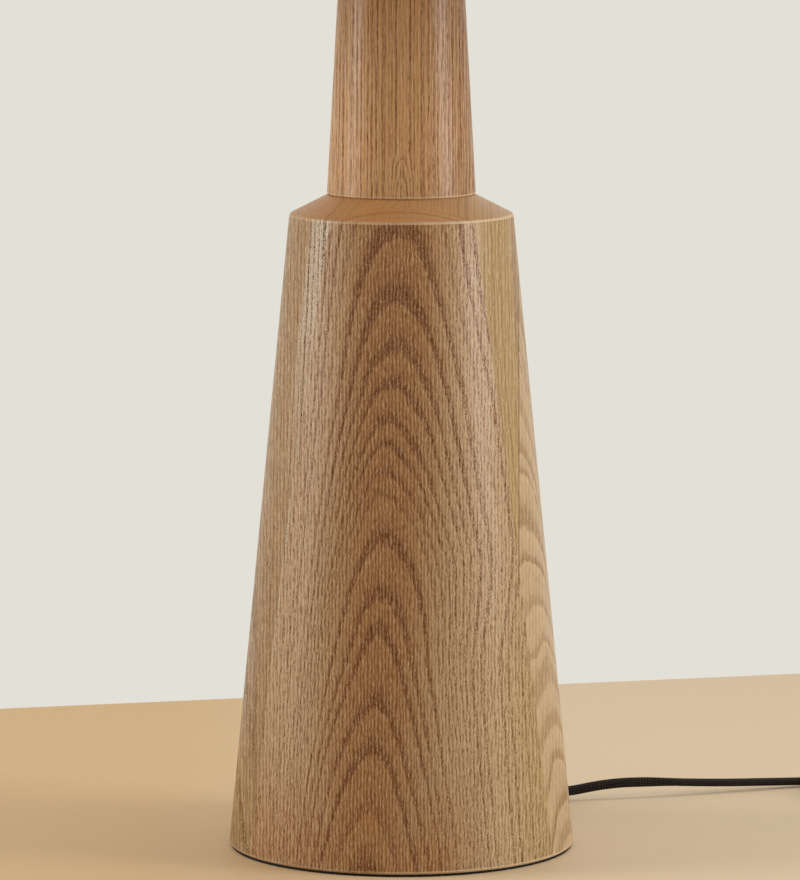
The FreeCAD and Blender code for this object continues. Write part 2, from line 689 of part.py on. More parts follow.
spindle_bore = place_along(cylinder("spindle_bore", "spindle_hole", "block_radius"),
                           on_spindle_axis(number("spindle_inner") - number("rest_gap")), -BACK)
terminal_bores = []
terminal_screws = []
for side, sign in (("left", -1), ("right", 1)):
    shank_base = ACROSS * (sign * number("terminal_inner")) + UP * number("terminal_z")
    head_base = ACROSS * (sign * number("block_radius")) + UP * number("terminal_z")
    bore = cylinder("terminal_bore_" + side, "terminal_shank_radius", "terminal_shank_length")
    shank = cylinder("terminal_shank_" + side, "terminal_shank_radius", "terminal_shank_length")
    head = cylinder("terminal_head_" + side, "terminal_head_radius", "terminal_head_height")
    terminal_bores.append(place_along(bore, shank_base, ACROSS * sign))
    place_along(shank, shank_base, ACROSS * sign)
    place_along(head, head_base, ACROSS * sign)
    terminal_screws.append(fuse("terminal_screw_" + side, [shank, head]))
switch_block = turned("block_in_holder", [
    (None, "block_z"),
    ("block_radius", "block_z"),
    ("block_radius", "block_flange_z"),
    ("paper_bore", "block_flange_z"),
    ("paper_bore", "block_top_z"),
    (None, "block_top_z"),
])
keep(cut("switch_block_bored", switch_block, fuse("block_bores", [spindle_bore] + terminal_bores)),
     "switch_block")
keep(group("terminal_pair", terminal_screws), "terminal_screws")
keep(tube("lamp_thread", "screw_shell_radius", "screw_shell_bore", "screw_shell_height",
          "block_top_z"), "screw_shell")
keep(cylinder("contact", "contact_radius", "contact_height", "block_top_z"), "centre_contact")

lead_shapes = []
for sign in (-1, 1):
    lead_shapes.append(tube_along("conductor", [
        point(sign * number("lead_spread"), 0, number("pipe_top_z")),
        point(sign * number("lead_spread"), 0, number("lead_spread_z")),
        point(sign * number("lead_side"), 0, number("lead_turn_z")),
        point(sign * number("lead_side"), 0, number("lead_end_z")),
    ], number("lead_radius")))
keep(set_shape("conductors", Part.makeCompound(lead_shapes)), "conductors")

# The switch knob turns on its spindle, which points to the front
spindle_rod = cylinder("spindle_rod", "spindle_radius", "spindle_length")
keep(place_along(spindle_rod, on_spindle_axis(number("spindle_inner")), -BACK), "switch_spindle")
knob = turned("knob", [
    ("spindle_radius", None),
    ("knob_radius", None),
    ("knob_radius", "knob_length"),
    (None, "knob_length"),
    (None, "spindle_hold"),
    ("spindle_radius", "spindle_hold"),
])
keep(place_along(knob, on_spindle_axis(number("knob_face")), -BACK), "switch_knob")

# The harp is one bent wire with a drilled boss at its top, and two ferrules lock it to the posts
harp_foot = number("harp_foot_z")
harp_side = [
    (number("post_spread"), harp_foot),
    (number("post_spread"), harp_foot + number("harp_leg")),
    (number("harp_half_width"), harp_foot + number("harp_belly_low")),
    (number("harp_shoulder_half"), harp_foot + number("harp_belly_high")),
    (number("harp_crown_half"), number("boss_middle_z")),
]
harp_points = [point(-x, 0, z) for x, z in harp_side] + [point(x, 0, z) for x, z in reversed(harp_side)]
harp_wire = set_shape("harp_wire", tube_along("harp", harp_points, number("harp_wire_radius")))
harp_boss = cylinder("harp_boss", "boss_radius", "boss_thickness", "boss_z")
harp_hole = cylinder("harp_hole", "stud_hole", "boss_thickness", "boss_z")
keep(cut("harp_drilled", fuse("harp_solid", [harp_wire, harp_boss]), harp_hole), "harp")

ferrules = []
for side, sign in (("left", -1), ("right", 1)):
    ferrule = tube("ferrule_" + side, "ferrule_radius", "ferrule_bore", "ferrule_length", "ferrule_z")
    for piece in (ferrule.Base, ferrule.Tool):
        bind(piece, {"Placement.Base.x": "%d * Sizes.post_spread" % sign})
    ferrules.append(ferrule)
keep(group("ferrule_pair", ferrules), "harp_ferrules")

keep(turned("stud", [
    (None, "stud_head_z"),
    ("stud_head_radius", "stud_head_z"),
    ("stud_head_radius", "stud_head_top_z"),
    ("stud_radius", "stud_head_top_z"),
    ("stud_radius", "collar_z"),
    ("collar_radius", "collar_z"),
    ("collar_radius", "collar_top_z"),
    ("stud_radius", "collar_top_z"),
    ("stud_radius", "stud_top_z"),
    (None, "stud_top_z"),
]), "harp_stud")

# The shade: a spider welded to the top ring, a bottom ring, liner, cloth and two rolled edges
arm_points = [
    point(number("hub_radius") - number("arm_overlap"), 0, number("hub_middle_z")),
    point(number("top_ring_radius") - number("arm_bend"), 0, number("hub_middle_z")),
    point(number("top_ring_radius"), 0, number("top_ring_z")),
]
arm_shape = tube_along("spider arm", arm_points, number("ring_wire_radius"))
spider_pieces = [cylinder("spider_hub", "hub_radius", "hub_thickness", "hub_z"),
                 torus("top_ring", "top_ring_radius", "ring_wire_radius", "top_ring_z")]
arm_count = round(number("arm_count"))
for index in range(arm_count):
    arm = set_shape("spider_arm_%d" % index, arm_shape)
    arm_angle = 90 + 360 * index / arm_count
    arm.Placement = FreeCAD.Placement(FreeCAD.Vector(), FreeCAD.Rotation(UP, arm_angle))
    spider_pieces.append(arm)
keep(cut("spider", fuse("spider_solid", spider_pieces),
         cylinder("spider_hole", "hub_hole", "hub_thickness", "hub_z")), "shade_spider")
keep(torus("bottom_ring", "bottom_ring_radius", "ring_wire_radius", "bottom_ring_z"),
     "shade_bottom_ring")
keep(turned("liner", [
    ("bore_bottom_radius", "shade_bottom_z"),
    ("liner_bottom_radius", "shade_bottom_z"),
    ("liner_top_radius", "shade_top_z"),
    ("bore_top_radius", "shade_top_z"),
]), "shade_liner")
keep(turned("cloth", [
    ("liner_bottom_radius", "shade_bottom_z"),
    ("shade_bottom_radius", "shade_bottom_z"),
    ("shade_top_radius", "shade_top_z"),
    ("liner_top_radius", "shade_top_z"),
]), "shade_fabric")
keep(turned("trim_above", [
    ("trim_top_low_radius", "trim_top_low_z"),
    ("trim_top_low_out", "trim_top_low_z"),
    ("trim_top_out", "trim_top_z"),
    ("bore_top_radius", "trim_top_z"),
    ("bore_top_radius", "shade_top_z"),
    ("shade_top_radius", "shade_top_z"),
]), "shade_trim_top")
keep(turned("trim_below", [
    ("bore_bottom_radius", "trim_bottom_z"),
    ("trim_bottom_out", "trim_bottom_z"),
    ("trim_bottom_high_out", "trim_bottom_high_z"),
    ("trim_bottom_high_radius", "trim_bottom_high_z"),
    ("shade_bottom_radius", "shade_bottom_z"),
    ("bore_bottom_radius", "shade_bottom_z"),
]), "shade_trim_bottom")

# The finial screws on the stud and holds the shade down
finial_solid = fuse("finial_solid", [
    cylinder("finial_foot", "finial_foot_radius", "finial_foot_height", "finial_z"),
    cylinder("finial_neck", "finial_neck_radius", "finial_neck_height", "finial_neck_z"),
    ball("finial_ball", "finial_radius", "finial_ball_z"),
])
keep(cut("finial_bored", finial_solid,
         cylinder("finial_thread", "finial_bore", "finial_bore_depth", "finial_z")), "finial")

# The bulb: contact, black glass, base shell, globe, glass mount and filament
keep(cylinder("bulb_tip", "bulb_tip_radius", "bulb_tip_thickness", "bulb_z"), "bulb_contact")
keep(cone("bulb_black_glass", "bulb_tip_radius", "insulator_radius", "insulator_height",
          "insulator_z"), "bulb_insulator")
keep(turned("bulb_cup", [
    ("bulb_eyelet_radius", "bulb_shell_z"),
    ("bulb_base_radius", "bulb_shell_z"),
    ("bulb_base_radius", "bulb_shell_top_z"),
    ("bulb_base_bore", "bulb_shell_top_z"),
    ("bulb_base_bore", "bulb_floor_z"),
    ("bulb_eyelet_radius", "bulb_floor_z"),
]), "bulb_base")


def envelope(name, globe, waist, neck):
    """One surface of the bulb glass, filled: globe, tangent flare and neck."""
    return fuse(name, [
        ball(name + "_globe", globe, "bulb_centre_z"),
        cone(name + "_flare", neck, waist, "bulb_flare_height", "bulb_shell_top_z"),
        cylinder(name + "_neck", neck, "bulb_neck_depth", "bulb_neck_z"),
    ])


keep(cut("bulb_envelope", envelope("glass_outside", "bulb_radius", "bulb_waist_radius",
                                   "bulb_base_bore"),
         envelope("glass_inside", "bulb_bore", "bulb_waist_bore", "bulb_neck_bore")), "bulb_glass")
keep(fuse("bulb_mount", [
    cone("stem_foot", "bulb_neck_bore", "stem_radius", "stem_flare", "bulb_neck_z"),
    cylinder("stem_post", "stem_radius", "stem_column", "stem_column_z"),
]), "bulb_stem")
wire_foot = number("stem_top_z")
wire_bend = wire_foot + number("filament_leg")
wire_top = wire_foot + number("filament_rise")
half_span = number("filament_span")
zigzag = number("filament_sag")
filament_points = [
    point(-number("filament_spread"), 0, wire_foot),
    point(-number("filament_spread"), 0, wire_bend),
    point(-half_span, 0, wire_top),
    point(-half_span / 2, 0, wire_top + zigzag),
    point(0, 0, wire_top),
    point(half_span / 2, 0, wire_top + zigzag),
    point(half_span, 0, wire_top),
    point(number("filament_spread"), 0, wire_bend),
    point(number("filament_spread"), 0, wire_foot),
]
keep(set_shape("filament", tube_along("filament", filament_points, number("filament_radius"))),
     "bulb_filament")

# The cord inside the lamp: in through the bushing, round in the recess and up the pipe
cord_radius = number("cord_radius")
cord_exit = on_exit_axis(number("cord_exit"))
keep(set_shape("inner_cord", tube_along("inner cord", [
    cord_exit,
    on_exit_axis(0),
    UP * number("pipe_top_z"),
], cord_radius, number("cord_bend"))), "cord_inner")

# The free cord: out of the bushing, over a long low hump and along the table to its coil
LEAD_POINTS = [
    point(95, 130, 4.2),
    point(124, 136, 9.4),
    point(150, 142.5, 9.4),
    point(190, 156, 6),
    point(226, 169, 4.2),
    point(256, 179.5, 2.8),
    point(273, 183.9, 2.8),
    point(286, 185.1, 2.8),
]
lead_points = [cord_exit, cord_exit + outward * number("lead_straight")] + LEAD_POINTS
keep(set_shape("lead", tube_along("cord lead", lead_points, cord_radius)), "cord_lead")

# The unseen length, put away as a round coil of two layers: in on the table, up, and out again
turns_in = number("coil_turns_in")
turns_out = number("coil_turns_out")
pitch = number("coil_pitch")
climb_turns = number("coil_turns_climb")
all_turns = turns_in + climb_turns + turns_out
outer_radius = number("coil_inner_radius") + pitch * turns_in
end_run = 2 * cord_radius
entry = lead_points[-1] - lead_points[-2]
entry.normalize()
entry_angle = math.atan2(entry.y, entry.x)
first_angle = entry_angle + math.pi / 2 + math.atan2(pitch, 2 * math.pi * outer_radius)
coil_start = lead_points[-1] + entry * end_run
coil_centre = coil_start - point(math.cos(first_angle), math.sin(first_angle), 0) * outer_radius


def coil_at(turn):
    """Place and direction on the coil, a number of turns from its start."""
    angle = first_angle - 2 * math.pi * turn
    climbed = min(max((turn - turns_in) / climb_turns, 0), 1)
    if climbed <= 0:
        radius = outer_radius - pitch * turn
        growth = -pitch
    elif climbed < 1:
        radius = number("coil_inner_radius") - pitch * climb_turns * climbed * (1 - climbed)
        growth = -pitch * (1 - 2 * climbed)
    else:
        radius = number("coil_inner_radius") + pitch * (turn - turns_in - climb_turns)
        growth = pitch
    rise = pitch * climbed * climbed * (3 - 2 * climbed)
    steepness = pitch * 6 * climbed * (1 - climbed) / climb_turns
    out = point(math.cos(angle), math.sin(angle), 0)
    ahead = point(math.sin(angle), -math.cos(angle), 0)
    direction = out * growth + ahead * (2 * math.pi * radius) + UP * steepness
    direction.normalize()
    return coil_centre + out * radius + UP * rise, direction


def two_arcs(start, start_way, end, end_way):
    """Two tangent arcs from one place and direction to the next."""
    span = end - start
    ways = start_way + end_way
    factor = 2 * (1 - start_way.dot(end_way))
    along = span.dot(ways)
    reach = (math.sqrt(along * along + factor * span.dot(span)) - along) / factor
    first_corner = start + start_way * reach
    last_corner = end - end_way * reach
    joint = (first_corner + last_corner) * 0.5
    first, first_radius = corner_arc(start, first_corner, joint)
    last, last_radius = corner_arc(joint, last_corner, end)
    return [first, last], min(first_radius, last_radius)


def least_gap(places, thickness):
    """Least distance between the surfaces of turns that lie beside or on each other."""
    apart = int(0.6 * len(places) / all_turns)
    return min((places[i] - places[j]).Length
               for i in range(len(places)) for j in range(i + apart, len(places))) - thickness


coil_edges = [Part.LineSegment(lead_points[-1], coil_start).toShape()]
coil_radii = []
quarters = math.ceil(all_turns * 4)
stops = [coil_at(all_turns * index / quarters) for index in range(quarters + 1)]
for (here, here_way), (there, there_way) in zip(stops, stops[1:]):
    arcs, radius = two_arcs(here, here_way, there, there_way)
    coil_edges.extend(arcs)
    coil_radii.append(radius)
coil_end, tail_way = stops[-1]
tail_start = coil_end + tail_way * end_run
coil_edges.append(Part.LineSegment(coil_end, tail_start).toShape())
coil_wire = Part.Wire(coil_edges)
coil_shape = swept(coil_wire, cord_radius, lead_points[-1], entry)
COIL_CHECKS = 1200
coil_places = [coil_at(all_turns * index / COIL_CHECKS)[0] for index in range(COIL_CHECKS + 1)]
gap = least_gap(coil_places, 2 * cord_radius)
ratio = coil_shape.Volume / (math.pi * cord_radius * cord_radius * coil_wire.Length)
print("cord coil: length %.1f, volume ratio %.4f, least radius %.1f, least gap to itself %.2f"
      % (coil_wire.Length, ratio, min(coil_radii), gap))
keep(set_shape("coil", coil_shape), "cord_coil")

# The tail of the cord runs off the top of the coil into its plug
plug_way = FreeCAD.Rotation(UP, number("tail_turn")).multVec(tail_way)
tail_bend = tail_start + tail_way * number("tail_first")
plug_base = tail_bend + plug_way * number("tail_second")
keep(set_shape("tail", tube_along("cord tail", [tail_start, tail_bend, plug_base], cord_radius)),
     "cord_tail")


def rounded_outline(width, thickness, corner, height):
    """A rectangle with round corners, centred on the plug's axis."""
    half_width = width / 2 - corner
    half_thickness = thickness / 2 - corner
    edges = []
    for index, (x, y) in enumerate([(1, 1), (-1, 1), (-1, -1), (1, -1)]):
        centre = point(x * half_width, y * half_thickness, height)
        angles = [math.radians(90 * index + turn) for turn in (0, 45, 90)]
        ends = [centre + point(math.cos(angle), math.sin(angle), 0) * corner for angle in angles]
        if edges:
            edges.append(Part.LineSegment(edges[-1].Vertexes[-1].Point, ends[0]).toShape())
        edges.append(Part.Arc(*ends).toShape())
    edges.append(Part.LineSegment(edges[-1].Vertexes[-1].Point, edges[0].Vertexes[0].Point).toShape())
    return Part.Wire(edges)


plug_neck = 2 * number("plug_neck_radius")
plug_corner = number("plug_corner")
plug_face = number("plug_length")
plug_shape = Part.makeLoft([
    rounded_outline(plug_neck, plug_neck, plug_corner, 0),
    rounded_outline(number("plug_width"), number("plug_thickness"), plug_corner,
                    number("plug_neck_length")),
    rounded_outline(number("plug_width") - number("plug_taper"),
                    number("plug_thickness") - number("plug_taper"), plug_corner, plug_face),
], True, True)
plug_frame = FreeCAD.Placement(plug_base, FreeCAD.Rotation(plug_way.cross(UP), UP, plug_way, "ZXY"))
plug = set_shape("plug", plug_shape)
plug.Placement = plug_frame
keep(plug, "plug_body")

blades = []
for side, sign in (("left", -1), ("right", 1)):
    blade = block("blade_%s_plate" % side, {
        "Length": "blade_thickness",
        "Width": "blade_width",
        "Height": "blade_length",
        "Placement.Base.x": "%d * Sizes.blade_pitch / 2 - Sizes.blade_thickness / 2" % sign,
        "Placement.Base.y": "-Sizes.blade_width / 2",
        "Placement.Base.z": "plug_length",
    })
    hole = cylinder("blade_%s_hole" % side, "blade_hole_radius", "blade_pitch")
    hole_height = plug_face + number("blade_length") - number("blade_hole_inset")
    place_along(hole, point((sign - 1) * number("blade_pitch") / 2, 0, hole_height), ACROSS)
    blades.append(cut("blade_" + side, blade, hole))
blade_pair = group("blade_pair", blades)
blade_pair.Placement = plug_frame
keep(blade_pair, "plug_blades")

doc.recompute()

faults = []
for thing in doc.Objects:
    if "Invalid" in thing.State or "Error" in thing.State:
        faults.append("%s is %s" % (thing.Name, thing.State))
for piece in SUBPARTS:
    shape = piece.Shape
    if shape.isNull() or not shape.isValid() or not shape.Solids or shape.Volume <= 0:
        faults.append("%s has a faulty shape" % piece.Label)
if faults:
    raise RuntimeError("; ".join(faults))

os.makedirs("parts", exist_ok=True)
for piece in SUBPARTS:
    piece.Shape.exportStep("parts/%s.step" % piece.Label)
print("%d sub-parts written" % len(SUBPARTS))
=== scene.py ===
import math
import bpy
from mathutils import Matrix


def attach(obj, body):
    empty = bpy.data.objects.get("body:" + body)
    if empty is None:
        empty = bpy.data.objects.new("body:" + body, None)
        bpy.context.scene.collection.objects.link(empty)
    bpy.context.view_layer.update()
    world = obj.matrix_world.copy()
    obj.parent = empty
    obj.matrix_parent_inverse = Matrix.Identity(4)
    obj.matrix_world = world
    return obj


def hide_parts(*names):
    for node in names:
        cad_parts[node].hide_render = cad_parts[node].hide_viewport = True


bl_info = {
    "name": "Column Table Lamp",
    "version": (1, 0, 0),
    "blender": (4, 5, 0),
    "location": "View3D > Sidebar > Lamp",
    "description": "Oak, cord, fabric shade, brass fittings and bulb of a column table lamp",
    "category": "Add Mesh",
}

from functools import partial, reduce
from itertools import accumulate, pairwise

import bmesh
import bpy
import numpy
from bpy.props import FloatProperty, FloatVectorProperty, IntProperty, PointerProperty
from mathutils import Matrix, Vector

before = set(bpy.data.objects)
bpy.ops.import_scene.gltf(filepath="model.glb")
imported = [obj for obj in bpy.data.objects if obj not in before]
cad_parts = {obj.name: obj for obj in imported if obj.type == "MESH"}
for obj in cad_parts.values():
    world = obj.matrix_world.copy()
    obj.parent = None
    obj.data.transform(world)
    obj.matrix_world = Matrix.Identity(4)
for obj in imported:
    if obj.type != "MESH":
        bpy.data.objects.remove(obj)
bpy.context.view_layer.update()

MM = 0.001
UP = Vector((0, 0, 1))
FULL_TURN = 2 * math.pi


def linear(code):
    """An sRGB hex colour as linear red, green, blue and alpha."""
    shares = [int(code[start:start + 2], 16) / 255 for start in (0, 2, 4)]
    return [share / 12.92 if share <= 0.04045 else ((share + 0.055) / 1.055) ** 2.4
            for share in shares] + [1.0]


def length(name, description, default):
    return FloatProperty(name=name, description=description, default=default * MM,
                         unit="LENGTH", subtype="DISTANCE", precision=5)


def colour(name, description, code):
    return FloatVectorProperty(name=name, description=description, default=linear(code),
                               size=4, subtype="COLOR", min=0, max=1)


# Sizes and colours that a user would change

class OakSettings(bpy.types.PropertyGroup):
    front_light: colour("Front, summer wood", "Between the dark bands of the front board", "ae8f69")
    front_dark: colour("Front, spring bands", "Open-pored bands of the front board", "764519")
    # Also used for the painted shade at the foot of the front and back boards
    front_heart_and_foot_shade: colour("Front, heart", "Redder wood down the middle of the front board", "986831")
    side_light: colour("Sides, summer wood", "Boards on either side", "b69a74")
    # Also tints the left half of the side boards, deepening towards the foot as painted shade
    side_dark: colour("Sides, spring bands", "Open-pored bands of the boards on either side", "8c693a")
    neck_light: colour("Neck, summer wood", "Between the pore lines of the neck", "bc8e5a")
    # Also used for the painted shade on the neck's right side
    neck_dark: colour("Neck, pore lines", "Open-pored lines of the neck", "7c4c24")
    end_grain: colour("End grain", "Shoulder, which cuts across the fibres", "b07c4a")
    # Pale stripe colour: pale wood, and in the stripe's upper part a painted highlight
    sapwood_and_highlight: colour("Sapwood", "Pale stripe beside the glue line", "c9c0ae")
    golden: colour("Golden wood", "Beside the glue line on the right", "a68954")
    fibre: colour("Fibres", "Pale fibres between the pores", "ccae86")
    pore: colour("Pores", "Shadow in the open pores", "5a2f0a")
    # Rim colour: a painted highlight on the shoulder edge, the bevels, the foot band and the right of
    # the shoulder
    rim: colour("Rims", "Sanded edges and bevels, where more light is caught", "dcc39c")
    pore_width: length("Pore spacing", "From one row of pores to the next", 2.0)
    pore_length: length("Pore length", "Length of a cut pore along the fibres", 4.5)
    pore_depth: length("Pore depth", "Depth of the open pores", 0.12)


class CordSettings(bpy.types.PropertyGroup):
    width: length("Width", "Oval cord, across its width", 6.0)
    thickness: length("Thickness", "Oval cord, across its thickness", 4.8)
    coil_diameter: length("Coiled cord", "Cord where it is wound up", 5.3)
    strand: length("Strand", "Width of one strand of the braid, drawn coarser to show", 1.7)
    colour: colour("Braid", "Black polyester braid, between its strands", "030201")
    # Painted highlight on top of each strand
    strand_highlight: colour("Braid, raised", "Where a strand lies on top", "3e3024")
    sides: IntProperty(name="Sides", description="Faces round the cord", default=20, min=8)
    step: length("Step", "Length of a face along the cord", 2.0)


class ShadeSettings(bpy.types.PropertyGroup):
    cloth: colour("Cloth", "Off-white linen", "e6ded0")
    slub: colour("Slubs", "Thick threads in the linen", "d2c7b4")
    gap: colour("Gaps", "Shadow between the threads", "a89c88")
    liner: colour("Liner", "Translucent film behind the cloth", "efece4")
    wire: colour("Wire", "White powder coat", "e9e7e2")
    thread: length("Thread", "Thread spacing, drawn coarser than real linen to show", 1.1)
    lap: length("Lap", "Width of the glued seam at the back", 12.0)
    around: IntProperty(name="Around", description="Faces round the shade", default=192, min=48)


class FittingSettings(bpy.types.PropertyGroup):
    brass: colour("Brass", "Satin lacquered brass", "c9a766")
    steel: colour("Steel", "Zinc-plated steel", "b4b6b8")
    knob: colour("Knob", "Moulded switch knob", "161616")
    rubber: colour("Rubber", "Bushing and foot pad", "101010")
    plug: colour("Plug", "Moulded plug", "1b1b1b")
    phenolic: colour("Switch block", "Moulded phenolic", "241c18")
    fibre: colour("Holder liner", "Vulcanised fibre", "8b857b")
    lead: colour("Conductors", "Insulation of the two leads", "2a2a2c")
    flutes: IntProperty(name="Flutes", description="Grip ridges round the knob", default=24, min=8)
    ribs: IntProperty(name="Ribs", description="Rings on the cord's bushing", default=7, min=2)
    grips: IntProperty(name="Grips", description="Ridges on each side of the plug", default=7, min=3)


class BulbSettings(bpy.types.PropertyGroup):
    globe: colour("Globe", "Frosted glass", "f4f3ef")
    base: colour("Base", "Drawn aluminium", "c8cacb")
    vitrite: colour("Black glass", "Between the base and its contact", "0b0b0d")
    tungsten: colour("Filament", "Drawn tungsten", "77777a")
    pitch: length("Thread pitch", "Rise of the lamp thread in one turn", 3.63)
    thread_depth: length("Thread depth", "Depth of the rolled lamp thread", 0.7)


class StageSettings(bpy.types.PropertyGroup):
    floor: colour("Floor", "Plain pale floor, on the right", "d2ba97")
    floor_left: colour("Floor on the left", "Where the floor is warmer", "cba877")
    backdrop: colour("Backdrop", "Off-white behind the floor's edge", "e3e0d7")
    lens: FloatProperty(name="Lens", description="Focal length on a 36 mm sensor", default=231.16)
    pitch: FloatProperty(name="Camera pitch", description="Camera turned down from the horizon",
                         default=math.radians(7.235), subtype="ANGLE", unit="ROTATION")


# Making nodes, materials and meshes

# Short names that add() takes. A sign, or a word in capitals that KINDS doesn't have, is an
# operation of the Math node. KINDS has a node, the sockets that values fill in turn, and settings.
SIGNS = {"+": "ADD", "-": "SUBTRACT", "*": "MULTIPLY", "/": "DIVIDE", "*+": "MULTIPLY_ADD"}
KINDS = {
    "SPLIT": ("ShaderNodeSeparateXYZ", (0,), {}),
    "JOIN": ("ShaderNodeCombineXYZ", (0, 1, 2), {}),
    "SHIFT": ("ShaderNodeVectorMath", (0, 1), {"operation": "ADD"}),
    "STRETCH": ("ShaderNodeVectorMath", (0, 1), {"operation": "MULTIPLY"}),
    "STRETCH_SHIFT": ("ShaderNodeVectorMath", (0, 1, 2), {"operation": "MULTIPLY_ADD"}),
    "REACH": ("ShaderNodeVectorMath", (0,), {"operation": "LENGTH"}),
    "RANGE": ("ShaderNodeMapRange", range(5), {}),
    "SMOOTH": ("ShaderNodeMapRange", range(5), {"interpolation_type": "SMOOTHSTEP"}),
    "BLEND": ("ShaderNodeMix", (0, 2, 3), {}),
    "TINT": ("ShaderNodeMix", (0, 6, 7), {"data_type": "RGBA"}),
    "NOISE": ("ShaderNodeTexNoise", ("Vector", "Scale", "Detail"), {}),
    "CELLS": ("ShaderNodeTexVoronoi", ("Vector", "Scale"), {}),
    "BUMP": ("ShaderNodeBump", ("Height", "Strength", "Distance", "Normal"), {}),
}


def fill(node, values):
    """Fills a node's sockets with plain values or with other nodes' outputs."""
    for name, value in values.items():
        if isinstance(value, bpy.types.Node):
            value = next(output for output in value.outputs if output.enabled)
        if isinstance(value, bpy.types.NodeSocket):
            node.id_data.links.new(value, node.inputs[name])
        else:
            node.inputs[name].default_value = value


def add(tree, kind, *values, sockets=None, **settings):
    """Adds a node with its settings, and fills its sockets in turn or by name."""
    maths = ("ShaderNodeMath", range(3), {"operation": SIGNS.get(kind, kind)})
    plain = (kind, range(len(values)), {})
    kind, order, preset = KINDS.get(kind, maths if kind in SIGNS or kind.isupper() else plain)
    node = tree.nodes.new(kind)
    for name, value in {**preset, **settings}.items():
        setattr(node, name, value)
    fill(node, {**dict(zip(order, values)), **(sockets or {})})
    return node


def new_material(name):
    """A material, the function that puts nodes in it, and its texture coordinates."""
    material = bpy.data.materials.new(name)
    material.use_nodes = True
    put = partial(add, material.node_tree)
    return material, put, put("ShaderNodeTexCoord").outputs


def finish(material, **values):
    """Fills the sockets of the material's Principled shader by name."""
    shader = material.node_tree.nodes["Principled BSDF"]
    fill(shader, {name.replace("_", " "): value for name, value in values.items()})
    return material


def surface(name, tone, second=None, gloss=None, relief=None, grain="NOISE", **values):
    """A finish with a fine grain in its colour, gloss and relief.

    Each of the three starts with the grain's scale and detail. Then come the second colour, the
    lowest and highest roughness, or the relief's strength and depth."""
    material, put, places = new_material(name)
    place = places["Object"]
    if second:
        tone = put("TINT", put(grain, place, *second[:2]), tone, second[2])
    if gloss:
        values["Roughness"] = put("RANGE", put(grain, place, *gloss[:2]), 0.3, 0.7, *gloss[2:])
    values["Normal"] = put("BUMP", put(grain, place, *relief[:2]), *relief[2:])
    return finish(material, Base_Color=tone, **values)


def times(tone, share):
    """A colour made darker or paler."""
    return [min(1, share * part) for part in tone[:3]] + [1]


def dress(material, *names):
    """Gives carried-over parts their material."""
    for name in names:
        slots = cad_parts[name].data.materials
        slots.clear()
        slots.append(material)


def new_piece(name, mesh, material, body, slot, *stands_for):
    """A finished piece on its body, in place of the parts it stands for."""
    piece = bpy.data.objects.new(name, mesh)
    bpy.context.collection.objects.link(piece)
    if material:
        mesh.materials.append(material)
    for part in stands_for:
        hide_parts(part)
    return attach(piece, body)


def polar(radius, turn, height=0):
    return Vector((radius * math.cos(turn), radius * math.sin(turn), height))


def turns(number):
    """The angles of so many points round a circle."""
    return [FULL_TURN * step / number for step in range(number)]


def come(value, first, last):
    """How far a value has come from first to last, from 0 to 1."""
    return min(max((value - first) / (last - first), 0), 1)


def run(points):
    """How far along its line each point lies."""
    return list(accumulate((math.dist(*ends) for ends in pairwise(points)), initial=0))


def eased(share):
    return share * share * (3 - 2 * share)


def skin(name, rings, closed_ends=False, uv=None, smooth_angle=35):
    """A mesh with quads between rings of equal length, its doubles merged and its normals outward.

    uv gives (u, v) for the numbers of a ring and a corner. Edges past the angle stay sharp."""
    shape = bmesh.new()
    layer = shape.loops.layers.uv.new("UVMap") if uv else None
    verts = [[shape.verts.new(place) for place in ring] for ring in rings]
    around = len(rings[0])
    for row in range(len(rings) - 1):
        for column in range(around):
            corners = ((row, column), (row, column + 1), (row + 1, column + 1), (row + 1, column))
            face = shape.faces.new([verts[across][corner % around] for across, corner in corners])
            if uv:
                for loop, corner in zip(face.loops, corners):
                    loop[layer].uv = uv(*corner)
    if closed_ends:
        shape.faces.new(list(reversed(verts[0])))
        shape.faces.new(verts[-1])
    bmesh.ops.remove_doubles(shape, verts=shape.verts, dist=1e-7)
    bmesh.ops.recalc_face_normals(shape, faces=shape.faces)
    mesh = bpy.data.meshes.new(name)
    shape.to_mesh(mesh)
    shape.free()
    mesh.shade_smooth()
    mesh.set_sharp_from_angle(angle=math.radians(smooth_angle))
    return mesh


def lathe(outline, around):
    """Rings of a piece turned about Z, from (radius, height) pairs in millimetres."""
    return [[polar(radius, turn, height) * MM for turn in turns(around)]
            for radius, height in outline]


def grown_mesh(name, mesh, material, inputs, place):
    """A plain mesh: the given one joined with what place puts on it in a Geometry Nodes tree."""
    tree = bpy.data.node_groups.new(name, "GeometryNodeTree")
    for way in ("INPUT", "OUTPUT"):
        tree.interface.new_socket("Geometry", in_out=way, socket_type="NodeSocketGeometry")
    values = {}
    for label, value in inputs.items():
        kind = "NodeSocketInt" if isinstance(value, int) else "NodeSocketFloat"
        socket = tree.interface.new_socket(label, in_out="INPUT", socket_type=kind)
        values[socket.identifier] = value
    put = partial(add, tree)
    entry = put("NodeGroupInput").outputs
    joined = put("GeometryNodeJoinGeometry")
    for geometry in (place(put, entry).outputs[0], entry["Geometry"]):
        tree.links.new(geometry, joined.inputs[0])
    real = put("GeometryNodeRealizeInstances", joined)
    dressed = put("GeometryNodeSetMaterial", real, sockets={"Material": material})
    put("NodeGroupOutput", dressed)
    carrier = bpy.data.objects.new(name, mesh)
    bpy.context.collection.objects.link(carrier)
    modifier = carrier.modifiers.new(name, "NODES")
    modifier.node_group = tree
    for identifier, value in values.items():
        modifier[identifier] = value
    evaluated = carrier.evaluated_get(bpy.context.evaluated_depsgraph_get())
    result = bpy.data.meshes.new_from_object(evaluated)
    carrier.modifiers.remove(modifier)
    bpy.data.objects.remove(carrier)
    result.name = name
    return result


# Stage

CAMERA_PLACE = (-0.0008, -3.2334, 0.64685)
